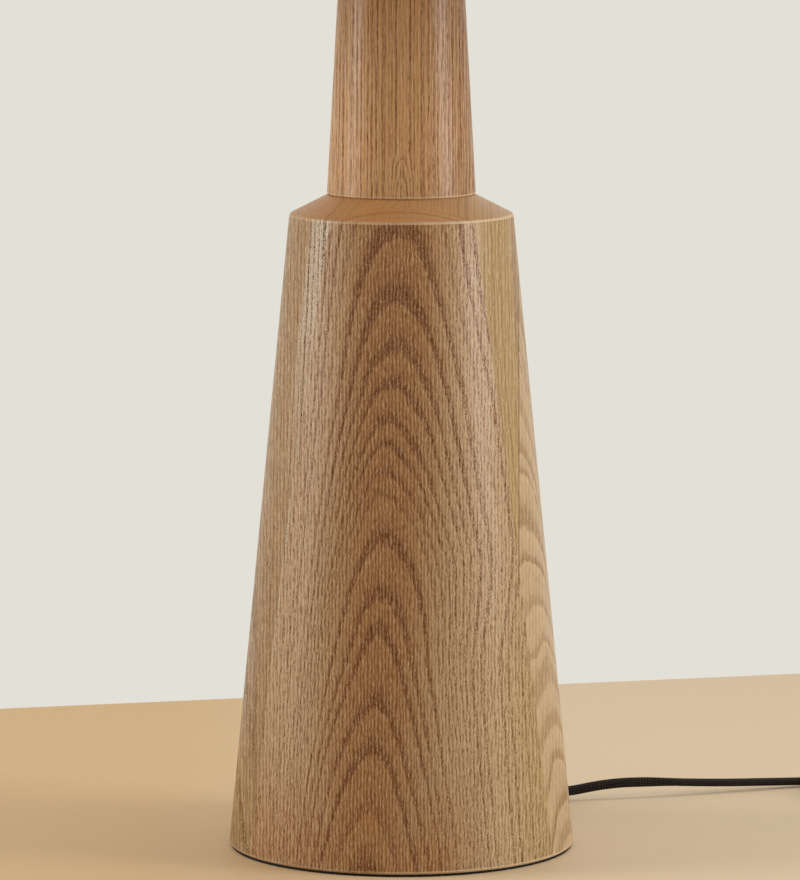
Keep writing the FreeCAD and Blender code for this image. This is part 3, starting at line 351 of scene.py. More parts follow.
# Name: place, aim, width, height, watts and the beam's angle. Grids on the softboxes at the sides
# keep their light off the floor beside them
SOFTBOXES = {
    "key_right": ((2.3, -0.6, 1.0), (0, 0, 0.30), 1.0, 1.6, 10.3, 90),
    "side_left": ((-2.4, -0.25, 1.15), (0, 0, 0.40), 0.9, 1.6, 9.6, 90),
    "front_fill": ((-0.5, -3.4, 1.3), (0, 0, 0.30), 2.0, 1.4, 6, 180),
    "top": ((0.4, 0.5, 2.6), (0, 0, 0), 1.8, 1.8, 14, 180),
}
# The floor's near and far edges and half its width, in metres, and its turn about the lamp
FLOOR_NEAR, FLOOR_FAR, FLOOR_SIDE = -5, 0.503, 4
FLOOR_TURN = Matrix.Rotation(math.radians(14.5), 4, "Z")


def stand(data, place=(0, 0, 0), turn=(0, 0, 0)):
    """Puts a camera, a lamp or the floor in the scene."""
    thing = bpy.data.objects.new(data.name, data)
    thing.location = place
    thing.rotation_euler = turn
    bpy.context.collection.objects.link(thing)
    return thing


def light_world(scene, backdrop):
    """Dim white light. What is seen, mirrored or seen through glass is the backdrop instead."""
    scene.world = bpy.data.worlds.new("studio")
    scene.world.use_nodes = True
    scene.world.node_tree.nodes.clear()
    put = partial(add, scene.world.node_tree)
    path = put("ShaderNodeLightPath").outputs
    seen = put("MAXIMUM", path["Is Camera Ray"], path["Is Glossy Ray"])
    seen = put("MAXIMUM", seen, path["Is Transmission Ray"])
    glow = put("ShaderNodeBackground", (1, 1, 1, 1), 0.5)
    behind = put("ShaderNodeBackground", backdrop, 1)
    put("ShaderNodeOutputWorld", put("ShaderNodeMixShader", seen, glow, behind))


def pale_floor(settings):
    """Matt lacquered floor, plain, a little warmer on the left."""
    material, put, places = new_material("pale_floor")
    cloud = put("NOISE", places["Object"], 3, 3)
    across = put("*+", cloud, 0.1, put("SPLIT", places["Object"]).outputs["X"])
    across = put("RANGE", across, -0.1, 0.15)
    return finish(material, Roughness=0.6,
                  Base_Color=put("TINT", across, settings.floor_left, settings.floor))


class LAMP_OT_stage(bpy.types.Operator):
    """Camera, soft studio light and a level floor whose far edge crosses the picture"""
    bl_idname = "lamp.stage"
    bl_label = "Stage"

    def execute(self, context):
        scene = context.scene
        settings = scene.lamp_stage
        scene.view_settings.view_transform = "Standard"
        eye = bpy.data.cameras.new("camera")
        eye.lens = settings.lens
        eye.sensor_width = 36
        scene.camera = stand(eye, CAMERA_PLACE, (math.pi / 2 - settings.pitch, 0, 0))
        for name, (place, aim, width, height, watts, beam) in SOFTBOXES.items():
            lamp = bpy.data.lights.new(name, "AREA")
            lamp.shape = "RECTANGLE"
            lamp.size, lamp.size_y, lamp.energy = width, height, watts
            lamp.spread = math.radians(beam)
            way = Vector(aim) - Vector(place)
            stand(lamp, place, way.to_track_quat("-Z", "Y").to_euler()).visible_camera = False
        light_world(scene, settings.backdrop)
        corners = [FLOOR_TURN @ Vector((side * FLOOR_SIDE, edge, 0)) for side, edge in (
            (-1, FLOOR_NEAR), (1, FLOOR_NEAR), (1, FLOOR_FAR), (-1, FLOOR_FAR))]
        mesh = bpy.data.meshes.new("floor")
        mesh.from_pydata(corners, [], [(0, 1, 2, 3)])
        mesh.materials.append(pale_floor(settings))
        stand(mesh)
        return {"FINISHED"}


# Oak

SHOULDER = 367.5
# How the neck gets slimmer in each millimetre of height, and how round a ring's point is
TAPER, POINT_ROUND = -0.055, 4
# Growth rings of the front board, from 39.8 mm in front of the axis outward, in millimetres
FRONT_START = 39.8
FRONT_RINGS = (5, 5, 5, 5, 5, 3.7, 2.6, 1.8, 2.2, 1.3, 1.5, 1.2, 2.6, 3.2, 1.9, 3.7, 2.6, 3.5, 3.2)
# How each piece was cut. The bark side faces so many degrees from the front towards +X, and turns
# by so many degrees in each metre of height. The pith lies so many millimetres behind the lamp's
# axis, or in front of it where that is negative. The rings come to a point by peak, band and line
# make their dark wood stronger and narrower, and joints are where strips were glued edge to edge.
CUTS = {
    "base_board_front": dict(tone="front", faces=-12.7, twist=29.2, pith=2000, peak=0.1,
                             rings=FRONT_RINGS, band=0.85, line=1),
    "base_board_mid_front": dict(tone="side", faces=78, twist=-94, pith=120, ring=2.3, band=0.8,
                                 line=1.3, joints=(-84, 67), rift=-0.29),
    "base_board_mid_back": dict(tone="side", faces=102, twist=60, pith=135, ring=2.6, band=0.8,
                                line=1.3, joints=(-76, 20), rift=0.29),
    "base_board_back": dict(tone="front", faces=176, twist=-20, pith=400, peak=0.1, ring=2.8,
                            band=0.75, line=1),
    "column_neck": dict(tone="neck", faces=1, twist=0, pith=-46, ring=3.4, band=0.6, line=2,
                        stretch=3, foot=378.5),
}


def count_rings(put, depth, rings):
    """The number of rings up to a depth, each ring with a width of its own."""
    span = sum(rings)
    share = put("RANGE", depth, FRONT_START, FRONT_START + span, clamp=False)
    curve = put("ShaderNodeFloatCurve", sockets={"Value": share})
    points = curve.mapping.curves[0].points
    for index, reach in enumerate(accumulate(rings[:-1]), start=1):
        points.new(reach / span, index / len(rings))
    for point in points:
        point.handle_type = "VECTOR"
    curve.mapping.update()
    return put("*", curve, len(rings))


def oak(name, settings, tone, faces, twist, pith, band, line, peak=0, ring=None, rings=None,
        joints=None, rift=0, stretch=1, foot=1.5):
    """White oak with a clear matt oil: dark open-pored spring bands and a satin surface."""
    light, dark = (getattr(settings, tone + part) for part in ("_light", "_dark"))
    material, put, places = new_material(name)
    grown = put("STRETCH", places["Object"], (1 / MM, 1 / MM, 1 / MM))
    x, y, height = put("SPLIT", grown).outputs

    def within(*spans):
        """Where several ranges all hold: their product."""
        return reduce(partial(put, "*"), [put("RANGE", *span) for span in spans])

    if joints:
        # The board is glued up edge to edge: its middle strip and a strip on either side
        left_strip = put("LESS_THAN", x, joints[0])
        right_strip = put("GREATER_THAN", x, joints[1])
        on_right = put("GREATER_THAN", x, 0)
    elif tone == "neck":
        # The rings follow the neck's taper
        grown = put("SHIFT", grown, put("JOIN", 0, put("*+", height, TAPER, 20.8)))

    # Width across the fibres and length along them in millimetres, seed and detail
    width = settings.pore_width / MM
    along = settings.pore_length / MM * stretch
    grains = {"wander": (30, 90, 1.7, 1), "fuzz": (1.1, 5, 4.1, 2), "streaks": (5, 80, 2.6, 3),
              "dashes": (width / 1.6, 0.7 * along, 7.3, 1),
              "specks": (width / 3.2, along / 3.5, 9.9, 1),
              "gleams": (width / 3.2, 0.9 * along, 5.3, 1)}
    for grain, (across, lengthways, seed, detail) in grains.items():
        stretched = put("STRETCH_SHIFT", grown, (1 / across, 1 / across, 1 / lengthways),
                        (seed, 2 * seed, 3 * seed))
        grains[grain] = put("NOISE", stretched, 1, detail)
    # Fibres and cut pores run in upright lines, which waver a little
    stretched = put("STRETCH", grown, (1 / width, 1 / width, 0.8 / along))
    lines = put("ShaderNodeTexWave", sockets={"Vector": stretched, "Scale": 0.314, "Distortion": 5,
                                              "Detail": 2, "Detail Scale": 1.7}).outputs["Fac"]

    # The growth rings: depth towards the bark side, less the bow of a ring about its pith
    angle = put("*+", height, -math.radians(twist * MM), -math.radians(faces))
    sawn = put("ShaderNodeVectorRotate", sockets={"Vector": grown, "Angle": angle},
               rotation_type="Z_AXIS")
    aside, ahead, _ = put("SPLIT", sawn).outputs
    reach = put("REACH", put("JOIN", aside, put("-", pith, ahead)))
    depth = put("*+", reach, math.copysign(1, pith), -pith)
    bends = []
    if peak:
        # Towards the foot the rings come to a point, and at the board's edges they bend
        point = put("-", put("SQRT", put("*+", aside, aside, POINT_ROUND ** 2)), POINT_ROUND)
        sharp = within((height, 100, 160, -peak, -0.65 * peak), (height, 330, 270))
        # Halfway up the rings bow less on the right
        right = put("MAXIMUM", aside, 0)
        bow = within((height, 120, 180, 0, 0.0027), (height, 330, 270))
        bends += [(point, sharp), (put("*", right, right), bow),
                  (put("POWER", put("MINIMUM", aside, 0), 4), -2e-6)]
    if tone == "neck":
        # A small peak of rings at the neck's foot
        point = put("RANGE", put("ABSOLUTE", x), 8, 0.5, 0, 10)
        bends.append((point, within((height, 405, 381), (y, -5, -15))))
    elif joints:
        # In the middle strip the rings stand on edge, and on the left they slant
        lower = put("-", SHOULDER, height)
        lean = put("*", put("*", lower, lower), on_right)
        slope = put("*+", y, rift, -45 * abs(rift))
        upright = put("BLEND", on_right, put("*+", x, 0.5, slope), put("*+", lean, -0.00046, x))
        slanted = put("*", put("*+", height, 0.19, x), 0.19)
        depth = put("BLEND", left_strip, put("BLEND", right_strip, upright, depth), slanted)
    bends += [(grains["wander"], 2), (grains["fuzz"], 0.4 if joints else 1)]
    for bend, share in bends:
        depth = put("*+", bend, share, depth)
    # Less the mean of what the two noises add
    depth = put("-", depth, 1.5)
    if rings:
        count = count_rings(put, depth, rings)
    else:
        drift = put("ShaderNodeTexNoise", noise_dimensions="1D", sockets={
            "W": put("/", depth, 2 * ring), "Scale": 1, "Detail": 1})
        count = put("*+", drift, 1.8, put("/", depth, ring))
    # In each ring the dark wood builds up slowly, then fast, and ends at once
    phase = put("FRACT", count)
    rising = put("+", put("RANGE", phase, 0, 0.9, 0, 0.65), put("SMOOTH", phase, 0.62, 0.84, 0, 0.4))
    spring = put("MAXIMUM", rising, put("SMOOTH", phase, 0, 0.1, 1, 0))
    number = put("ROUND", count)
    chance = put("ShaderNodeTexWhiteNoise", noise_dimensions="1D", sockets={"W": number})
    uneven = put("*+", chance, 0.5, 0.55)
    spring = put("*", put("POWER", spring, line), uneven)
    if joints:
        golden = put("-", on_right, right_strip)
        clearer = 1
        for strip, more in ((on_right, 0.25), (golden, 0.25), (left_strip, 0.8)):
            clearer = put("*+", strip, more, clearer)
        spring = put("*", spring, clearer)

    # Pores show as dark dashes, most of them in the spring bands
    dashes = within((lines, 0.5, 0.8), (grains["dashes"], 0.44, 0.54))
    specks = put("SMOOTH", grains["specks"], 0.45, 0.58)
    crowd = put("MAXIMUM", put("RANGE", spring, 0.3, 0.9), 0.25)
    crowded = put("*", put("*", specks, crowd), 0.9)
    pores = put("*+", dashes, 0.7 if tone == "front" else 0.45, crowded)

    banded = put("*", spring, band)
    if tone == "front":
        # Redder and darker down the middle, golden low on the right, with fainter rings outside. Darker
        # at the foot, except on the right: painted shade, in the heart's colour
        side = put("ABSOLUTE", aside)
        low = within((height, 70, 10, 0, 0.9), (x, 50, 20))
        heart_and_foot_shade = put("MAXIMUM", put("SMOOTH", side, 44, 6), low)
        yellow = within((x, 38, 62, 0, 0.8), (height, 180, 90))
        banded = put("*", banded, put("RANGE", side, 15, 50, 1.45, 0.5))
        patches = ((yellow, settings.golden), (heart_and_foot_shade, settings.front_heart_and_foot_shade))
    elif joints:
        # A pale stripe beside the glue line on the upper left, with dotted pores, and a thin pale line
        # lower down. The stripe is pale wood and, in its upper part, which fades downward, also a
        # painted highlight
        stripe = put("MAXIMUM", within((y, -38, -41, 0, 0.6), (height, 200, 340)),
                     within((y, -48, -49, 0, 0.45), (height, 40, 130, 0.3, 1)))
        stripe = put("BLEND", on_right, stripe, 0)
        pores = put("*+", put("*", crowded, stripe), 2, pores)
        pores = put("*", pores, put("*+", on_right, -0.65, 1))
        # Golden in the middle strip's right half, darker over the left strip and darker still towards
        # its foot; that deepening towards the foot is painted shade
        low = put("-", put("RANGE", height, 220, 20, 0.72, 1), put("*", stripe, 1.5), use_clamp=True)
        patches = ((stripe, settings.sapwood_and_highlight), (golden, settings.golden),
                   (put("BLEND", on_right, low, 0), dark))
    else:
        # On the neck: darker towards its right side, which is painted shade
        patches = ((put("RANGE", x, 5, 35, 0, 0.55), dark),)
    for share, tint in patches:
        light = put("TINT", share, light, tint)
    pale = put("RANGE", grains["streaks"], 0.35, 0.7, 0, 0.3)
    bright = within((lines, 0.6, 0.2), (grains["gleams"], 0.47, 0.57, 0.1, 0.5))
    layers = [(banded, dark), (pale, light), (bright, settings.fibre)]
    if joints:
        # The glue lines between the strips
        near = [put("COMPARE", x, joint, 0.4) for joint in joints]
        layers.append((put("*", put("+", *near), 0.45), settings.pore))
    layers.append((put("*", pores, 0.55, use_clamp=True), settings.pore))
    # End grain on the shoulder, paler towards the right in the rim colour: painted highlight
    upward = put("SPLIT", put("ShaderNodeNewGeometry").outputs["Normal"]).outputs["Z"]
    dotted = put("*+", spring, 0.35, put("*", specks, 0.2))
    ends = put("TINT", put("RANGE", x, -10, 60, 0, 0.3), settings.end_grain, settings.rim)
    layers.append((put("RANGE", upward, 0.6, 0.85), put("TINT", dotted, ends, dark)))
    # Painted highlight on the rims: pale colour on the softened shoulder edge, on the bevels of foot and
    # neck, which face down, and on a band at the very foot of each piece, stronger towards the right
    under = put("MAXIMUM", put("RANGE", upward, -0.2, -0.5),
                put("RANGE", height, foot + 1.9, foot + 1.5, 0, 0.8))
    rim = put("MAXIMUM", within((upward, 0.14, 0.3), (upward, 0.86, 0.6)), under)
    layers.append((put("*", rim, put("RANGE", x, -30, 40, 0.25, 0.6)), settings.rim))
    wood = light
    for share, tint in layers:
        wood = put("TINT", share, wood, tint)
    sunk = put("-", put("*", spring, -0.4), pores)
    return finish(material, IOR=1.45, Coat_Weight=0.2, Coat_Roughness=0.22, Base_Color=wood,
                  Roughness=put("*+", pores, 0.2, 0.42),
                  Specular_IOR_Level=put("*+", pores, -0.4, 0.5, use_clamp=True),
                  Normal=put("BUMP", sunk, 0.6, settings.pore_depth))


class LAMP_OT_oak(bpy.types.Operator):
    """Sawn and turned oak on the four boards of the cone and on the neck"""
    bl_idname = "lamp.oak"
    bl_label = "Oak"

    def execute(self, context):
        for name, cut in CUTS.items():
            dress(oak("oiled_oak_" + name, context.scene.lamp_oak, **cut), name)
        return {"FINISHED"}


# Cord

CORD_EXIT = Vector((69.73, 99.59, 12.0)) * MM
CORD_OUT = Vector((math.sin(math.radians(35)), math.cos(math.radians(35)), 0))
CORD_STRAIGHT = 16 * MM
CORD_ROUTE = ((95, 130, 4.2), (124, 136, 9.4), (150, 142.5, 9.4), (190, 156, 6), (226, 169, 4.2),
              (256, 179.5, 2.8), (273, 183.9, 2.8), (286, 185.1, 2.8))
# Coil: two layers, in on the floor, up in half a turn, and out again
COIL_END_RUN = 5.4 * MM
COIL_PITCH = 6.0 * MM
COIL_INNER = 21.8 * MM
COIL_TURNS = (3.5, 0.5, 3.34)
COIL_POINTS = 24
CORD_TAIL = 26 * MM
CORD_TAIL_TURN = math.radians(20)
# From and to where, along the cord, it turns from standing to lying, and from oval to round
LIE_DOWN = (0.085, 0.125)
GROW_ROUND = (0.19, 0.24)


def cord_route():
    """The route's points, the coil's turns and the tail, then the plug's place and direction."""
    route = [CORD_EXIT, CORD_EXIT + CORD_OUT * CORD_STRAIGHT]
    route += [Vector(place) * MM for place in CORD_ROUTE]
    entry = (route[-1] - route[-2]).normalized()
    turns_in, climb, _ = COIL_TURNS
    outer = COIL_INNER + COIL_PITCH * turns_in
    first = math.atan2(entry.y, entry.x) + math.pi / 2 + math.atan2(COIL_PITCH, FULL_TURN * outer)
    centre = route[-1] + entry * COIL_END_RUN - polar(outer, first)
    total = sum(COIL_TURNS)
    steps = round(total * COIL_POINTS)
    outward_share = 1 / math.cos(math.pi * total / steps)

    def on_coil(turn, share=1.0):
        climbed = come(turn, turns_in, turns_in + climb)
        if climbed <= 0:
            radius = outer - COIL_PITCH * turn
        elif climbed < 1:
            radius = COIL_INNER - COIL_PITCH * climb * climbed * (1 - climbed)
        else:
            radius = COIL_INNER + COIL_PITCH * (turn - turns_in - climb)
        return centre + polar(radius * share, first - FULL_TURN * turn, COIL_PITCH * eased(climbed))

    coil = [on_coil(total * (step + 0.5) / steps, outward_share) for step in range(steps)]
    end = on_coil(total)
    way = (end - on_coil(total - 0.01)).normalized()
    bend = end + way * (COIL_END_RUN + CORD_TAIL)
    plug_way = Matrix.Rotation(CORD_TAIL_TURN, 3, "Z") @ way
    plug_base = bend + plug_way * CORD_TAIL
    return route + coil + [bend, plug_base], plug_base, plug_way


def smooth_path(points):
    """Points along the smooth line of the cord."""
    data = bpy.data.curves.new("cord_line", "CURVE")
    data.dimensions = "3D"
    data.resolution_u = 8
    line = data.splines.new("NURBS")
    line.points.add(len(points) - 1)
    for point, place in zip(line.points, points):
        point.co = (*place, 1)
    line.order_u = 3
    line.use_endpoint_u = True
    carrier = bpy.data.objects.new("cord_line", data)
    mesh = bpy.data.meshes.new_from_object(carrier)
    path = [vertex.co.copy() for vertex in mesh.vertices]
    bpy.data.objects.remove(carrier)
    bpy.data.curves.remove(data)
    bpy.data.meshes.remove(mesh)
    return path


def cord_tube(path, settings):
    """An oval tube that stands on edge in its hump and lies flat on the floor."""
    along = run(path)
    steps = round(along[-1] / settings.step)
    reaches = [along[-1] * step / steps for step in range(steps + 1)]
    places = [Vector(place)
              for place in zip(*(numpy.interp(reaches, along, part) for part in zip(*path)))]
    rings = []
    for number, (reach, place) in enumerate(zip(reaches, places)):
        ahead = (places[min(number + 1, steps)] - places[max(number - 1, 0)]).normalized()
        side = ahead.cross(UP).normalized()
        top = side.cross(ahead)
        turn = math.pi / 2 * (1 - eased(come(reach, *LIE_DOWN)))
        grown = come(reach, *GROW_ROUND)
        wide, thick = (size / 2 * (1 - grown) + settings.coil_diameter / 2 * grown
                       for size in (settings.width, settings.thickness))
        wide_way = (side * math.cos(turn) + top * math.sin(turn)) * wide
        thick_way = (top * math.cos(turn) - side * math.sin(turn)) * thick
        rings.append([place + wide_way * math.cos(angle) + thick_way * math.sin(angle)
                      for angle in turns(settings.sides)])
    return skin("mains_cord", rings, closed_ends=True,
                uv=lambda row, column: (column / settings.sides, reaches[row]))


def braid(settings, name="polyester_braid"):
    """Black polyester braid: diagonal strands that cross, each with a faint sheen, and a painted
    highlight on top of each strand.
    """
    material, put, places = new_material(name)
    across, along, _ = put("SPLIT", places["UV"]).outputs
    strands = round(math.pi * settings.width / settings.strand / 2)
    around = put("*", across, FULL_TURN * strands)
    ways = [put("SINE", put("*+", along, slant * math.pi / settings.strand, around))
            for slant in (1, -1)]
    rise = put("*+", put("*", *ways), 0.5, 0.5)
    return finish(material, Roughness=0.65, Specular_IOR_Level=0.15, Sheen_Weight=0.03,
                  Sheen_Roughness=0.4, Normal=put("BUMP", rise, 1, 0.5 * MM),
                  Base_Color=put("TINT", put("POWER", rise, 3), settings.colour, settings.strand_highlight))


class LAMP_OT_cord(bpy.types.Operator):
    """The braided mains cord from its bushing to the plug, with its length put away in a coil"""
    bl_idname = "lamp.cord"
    bl_label = "Cord"

    def execute(self, context):
        settings = context.scene.lamp_cord
        path = smooth_path(cord_route()[0])
        cord = new_piece("mains_cord", cord_tube(path, settings), braid(settings), "root",
                         "cord_braid", "cord_lead", "cord_coil", "cord_tail")
        dress(braid(settings, "braid_inside"), "cord_inner")
        dress(metal("plug_blade_brass", context.scene.lamp_fittings.brass, 0.25, False),
              "plug_blades")
        return {"FINISHED"}


# Plug, bushing and foot pad

# Radius and reach of the bushing, in millimetres from its seat outward
SLEEVE = [(4.3, -14), (4.3, -0.6), (4.6, 0), (7.7, 0), (8, 0.3), (8, 1.5), (7.5, 2), (6.1, 2.1),
          (5.4, 2.8), (3.75, 23.4), (3.4, 24), (2.9, 24), (2.8, 23.6), (2.8, -14), (4.3, -14)]
# Where the cord goes into it, in millimetres from its seat
SLEEVE_END = 24
# The taper that the ribs follow, and the radius that each is made at before it gets its own size
TAPER_FROM, TAPER_TO = SLEEVE[8:10]
RIB_RADIUS = 4.7
# Reach from the cord, width, thickness and squareness of a section of the plug, in millimetres
PLUG = ((0, 7.6, 7.6, 2), (0.4, 8.8, 8.8, 2), (2, 9, 9, 2), (2.3, 7.8, 7.8, 2), (3.1, 7.8, 7.8, 2),
        (3.4, 9.2, 9.2, 2), (4.8, 9.4, 9.4, 2), (5.1, 8.2, 8.2, 2), (5.9, 8.4, 8.3, 2),
        (6.2, 9.9, 9.6, 2.1), (7.6, 11.4, 10.4, 2.3), (9.4, 16, 12.6, 2.8), (11, 21, 15.2, 3.6),
        (13, 24.2, 16.6, 4.6), (15.5, 25, 17, 5), (19, 24.6, 16.2, 5), (23, 24, 15.9, 5),
        (27, 24.1, 16, 5), (30, 24.2, 16.1, 5.5), (32.6, 23.8, 15.8, 6), (33.7, 23.2, 15.2, 6),
        (34, 22.2, 14.2, 6))
# The grips' first and last reach, half their width, their depth and how soon they reach it at
# their sides, and the rows that draw them, in millimetres
GRIP_FROM, GRIP_TO, GRIP_SIDE, GRIP_DEPTH, GRIP_FADE = 16.5, 28.5, 9, 0.45, 1.5
GRIP_ROWS = [16 + 0.5 * step for step in range(28)]
PLUG_AROUND = 64


def moulded(name, tone, roughness, grit):
    """Moulded plastic or rubber with the fine eroded grain of its mould, grit in millimetres."""
    return surface(name, tone, gloss=(60, 3, roughness - 0.06, roughness + 0.06),
                   relief=(1 / (grit * MM), 2, 0.35, 0.1 * MM), IOR=1.5)


def ribs(put, entry):
    """Rings along the sleeve that get smaller with it."""
    line = put("GeometryNodeMeshLine", sockets={
        "Count": entry["Ribs"], "Start Location": put("JOIN", 0, 0, entry["First"]),
        "Offset": put("JOIN", 0, 0, entry["Step"])})
    rail, wire = (put("GeometryNodeCurvePrimitiveCircle",
                      sockets={"Resolution": points, "Radius": radius})
                  for points, radius in ((40, RIB_RADIUS * MM), (8, entry["Wire"])))
    ring = put("GeometryNodeCurveToMesh", sockets={"Curve": rail, "Profile Curve": wire})
    along = put("SPLIT", put("GeometryNodeInputPosition")).outputs["Z"]
    narrow = put("RANGE", along, TAPER_FROM[1] * MM, TAPER_TO[1] * MM,
                 TAPER_FROM[0] / RIB_RADIUS, TAPER_TO[0] / RIB_RADIUS)
    return put("GeometryNodeInstanceOnPoints", sockets={
        "Points": line, "Instance": ring, "Scale": put("JOIN", narrow, narrow, 1)})


def plug_mesh(grips):
    """Superellipses along the plug, with grip ridges on the top and the underside."""
    rings = []
    stations, *sizes = zip(*PLUG)
    for reach in sorted({*stations, *GRIP_ROWS}):
        width, thick, square = (numpy.interp(reach, stations, size) for size in sizes)
        ring = []
        for angle in turns(PLUG_AROUND):
            across, up = math.cos(angle), math.sin(angle)
            x = math.copysign(abs(across) ** (2 / square), across) * width / 2
            y = math.copysign(abs(up) ** (2 / square), up) * thick / 2
            if GRIP_FROM <= reach <= GRIP_TO and abs(x) < GRIP_SIDE:
                share = (reach - GRIP_FROM) / (GRIP_TO - GRIP_FROM)
                wave = 0.5 + 0.5 * math.cos(FULL_TURN * grips * share)
                y -= math.copysign(GRIP_DEPTH * (1 - wave) * min(1, (GRIP_SIDE - abs(x)) / GRIP_FADE), y)
            ring.append(Vector((x, y, reach)) * MM)
        rings.append(ring)
    return skin("plug", rings, closed_ends=True, smooth_angle=50)


class LAMP_OT_foot(bpy.types.Operator):
    """The foam pad under the foot and the bushing at the cord hole"""
    bl_idname = "lamp.foot"
    bl_label = "Foot pad and bushing"

    def execute(self, context):
        settings = context.scene.lamp_fittings
        # Die-cut foam rubber: matt, with small open cells at its cut edge
        cells = 1 / (0.7 * MM)
        foam = surface("foam_rubber", settings.rubber, (cells, 0, times(settings.rubber, 2.2)),
                       relief=(cells, 0, 0.5, 0.2 * MM), grain="CELLS", Roughness=0.9,
                       Specular_IOR_Level=0.2)
        dress(foam, "base_pad")
        rubber = moulded("soft_pvc_bushing", settings.rubber, 0.55, 0.5)
        inputs = {"Ribs": settings.ribs, "First": 5.0 * MM, "Step": 2.6 * MM, "Wire": 0.45 * MM}
        mesh = grown_mesh("strain_relief", skin("cord_sleeve", lathe(SLEEVE, 48)), rubber, inputs,
                          ribs)
        outward = CORD_OUT.to_track_quat("Z", "Y").to_matrix().to_4x4()
        mesh.transform(Matrix.Translation(CORD_EXIT - CORD_OUT * SLEEVE_END * MM) @ outward)
        new_piece("strain_relief", mesh, None, "root", "cord_rubber", "cord_bushing")
        return {"FINISHED"}


class LAMP_OT_plug(bpy.types.Operator):
    """The moulded two-blade plug at the end of the cord"""
    bl_idname = "lamp.plug"
    bl_label = "Plug"

    def execute(self, context):
        settings = context.scene.lamp_fittings
        _, base, way = cord_route()
        mesh = plug_mesh(settings.grips)
        # Its own Y points up and its Z runs away from the cord
        turned = Matrix((UP.cross(way), UP, way)).transposed().to_4x4()
        mesh.transform(Matrix.Translation(base) @ turned)
        new_piece("plug", mesh, moulded("moulded_pvc_plug", settings.plug, 0.45, 0.6), "root",
                  "plug_plastic", "plug_body")
        return {"FINISHED"}


# Shade

SHADE_BOTTOM, SHADE_TOP = 521.5, 771.5
BOTTOM_RADIUS, TOP_RADIUS = 200.0, 165.0
CLOTH, CLOTH_ROWS = 0.8, 20
# How far the cloth lifts towards the lap's edge and over it, in millimetres
LAP_LIFT = [0.07 * step for step in range(7)] + [0.5, 0.5]
# Along the cloth from edge to edge, and from the cone's point to the bottom edge
SLANT = math.hypot(SHADE_TOP - SHADE_BOTTOM, BOTTOM_RADIUS - TOP_RADIUS)
WHOLE = SLANT * BOTTOM_RADIUS / (BOTTOM_RADIUS - TOP_RADIUS)
# Section of a rolled edge: out from the cloth, and past the shade's edge where not negative
TRIM = ((0, -9), (0.5, -9), (0.68, -8.75), (0.7, -8.2), (0.7, -0.6), (0.55, -0.1), (0.2, 0.25),
        (-0.5, 0.35), (-1.3, 0.3), (-1.8, 0.1), (-2.05, -0.4), (-1.95, -1.1), (-1.65, -1.15),
        (-1.62, 0), (-0.8, 0.03), (0, 0), (0, -9))


def shade_radius(height):
    share = (height - SHADE_BOTTOM) / (SHADE_TOP - SHADE_BOTTOM)
    return BOTTOM_RADIUS + (TOP_RADIUS - BOTTOM_RADIUS) * share


def cloth_mesh(settings):
    """The cloth as it was cut, wrapped into a cone, with its glued lap at the back."""
    # Angles from the front, with the lap's edge between two close ones at the back
    lap = settings.lap / MM / BOTTOM_RADIUS
    angles = [-math.pi + lap + (FULL_TURN - lap) * step / settings.around
              for step in range(settings.around + 1)]
    angles += [math.pi + share * lap for share in (0.5, 0.94)]
    raised = [0] * (len(angles) - len(LAP_LIFT)) + LAP_LIFT
    rings, flat = [], []
    rows = [step / CLOTH_ROWS for step in range(CLOTH_ROWS + 1)]
    walls = [(0, row) for row in rows] + [(1, row) for row in reversed(rows)] + [(0, 0)]
    for inner, row in walls:
        height = SHADE_BOTTOM + (SHADE_TOP - SHADE_BOTTOM) * row
        away = (WHOLE - SLANT * row) * MM
        # The front is at -Y
        rings.append([polar(shade_radius(height) - CLOTH * inner + lift * (1 - inner),
                            angle - math.pi / 2, height) * MM for angle, lift in zip(angles, raised)])
        flat.append([polar(away, math.pi / 2 - angle * BOTTOM_RADIUS / WHOLE).xy for angle in angles])
    last = len(angles) - 1
    return skin("linen_shade", rings, uv=lambda row, column: flat[row][min(column, last)])


def trim_mesh(settings, name, edge, away, radius):
    """A strip of the same cloth, folded over the shade's edge."""
    section = [(out + (shade_radius(edge + away * reach) if reach < 0 else radius),
                edge + away * reach) for out, reach in TRIM]
    lengths = run(section)
    return skin(name, lathe(section, settings.around), smooth_angle=50, uv=lambda row, column: (
        column / settings.around * FULL_TURN * radius * MM, lengths[row] * MM))


def linen(settings):
    """Plain-woven linen: threads over and under, slubs, and a dry matt surface."""
    material, put, places = new_material("linen_cloth")
    flat = put("SPLIT", places["UV"]).outputs
    waves, slubs = [], []
    for along, across, seed in ((0, 1, 3.1), (1, 0, 8.4)):
        # Each thread wanders a little, and is thick in places
        spot = put("JOIN", flat[along], flat[across], seed)
        slub = put("NOISE", put("STRETCH", spot, (60, 700, 1)), 1, 2)
        bent = put("*", slub, 1.4)
        over = put("*+", flat[across], math.pi / settings.thread, bent)
        waves.append(put("SINE", over))
        slubs.append(slub)
    rise = put("*+", put("*", *waves), 0.5, 0.5)
    shown = put("SMOOTH", put("MAXIMUM", *slubs), 0.58, 0.75, 0, 0.8)
    tone = put("TINT", shown, settings.cloth, settings.slub)
    tone = put("TINT", put("RANGE", rise, 0, 0.4, 0.35, 0), tone, settings.gap)
    raised = put("*+", shown, 0.4, rise)
    return finish(material, Roughness=0.9, Sheen_Weight=0.3, Sheen_Roughness=0.5,
                  Specular_IOR_Level=0.2, Base_Color=tone, Normal=put("BUMP", raised, 0.6, 0.3 * MM))


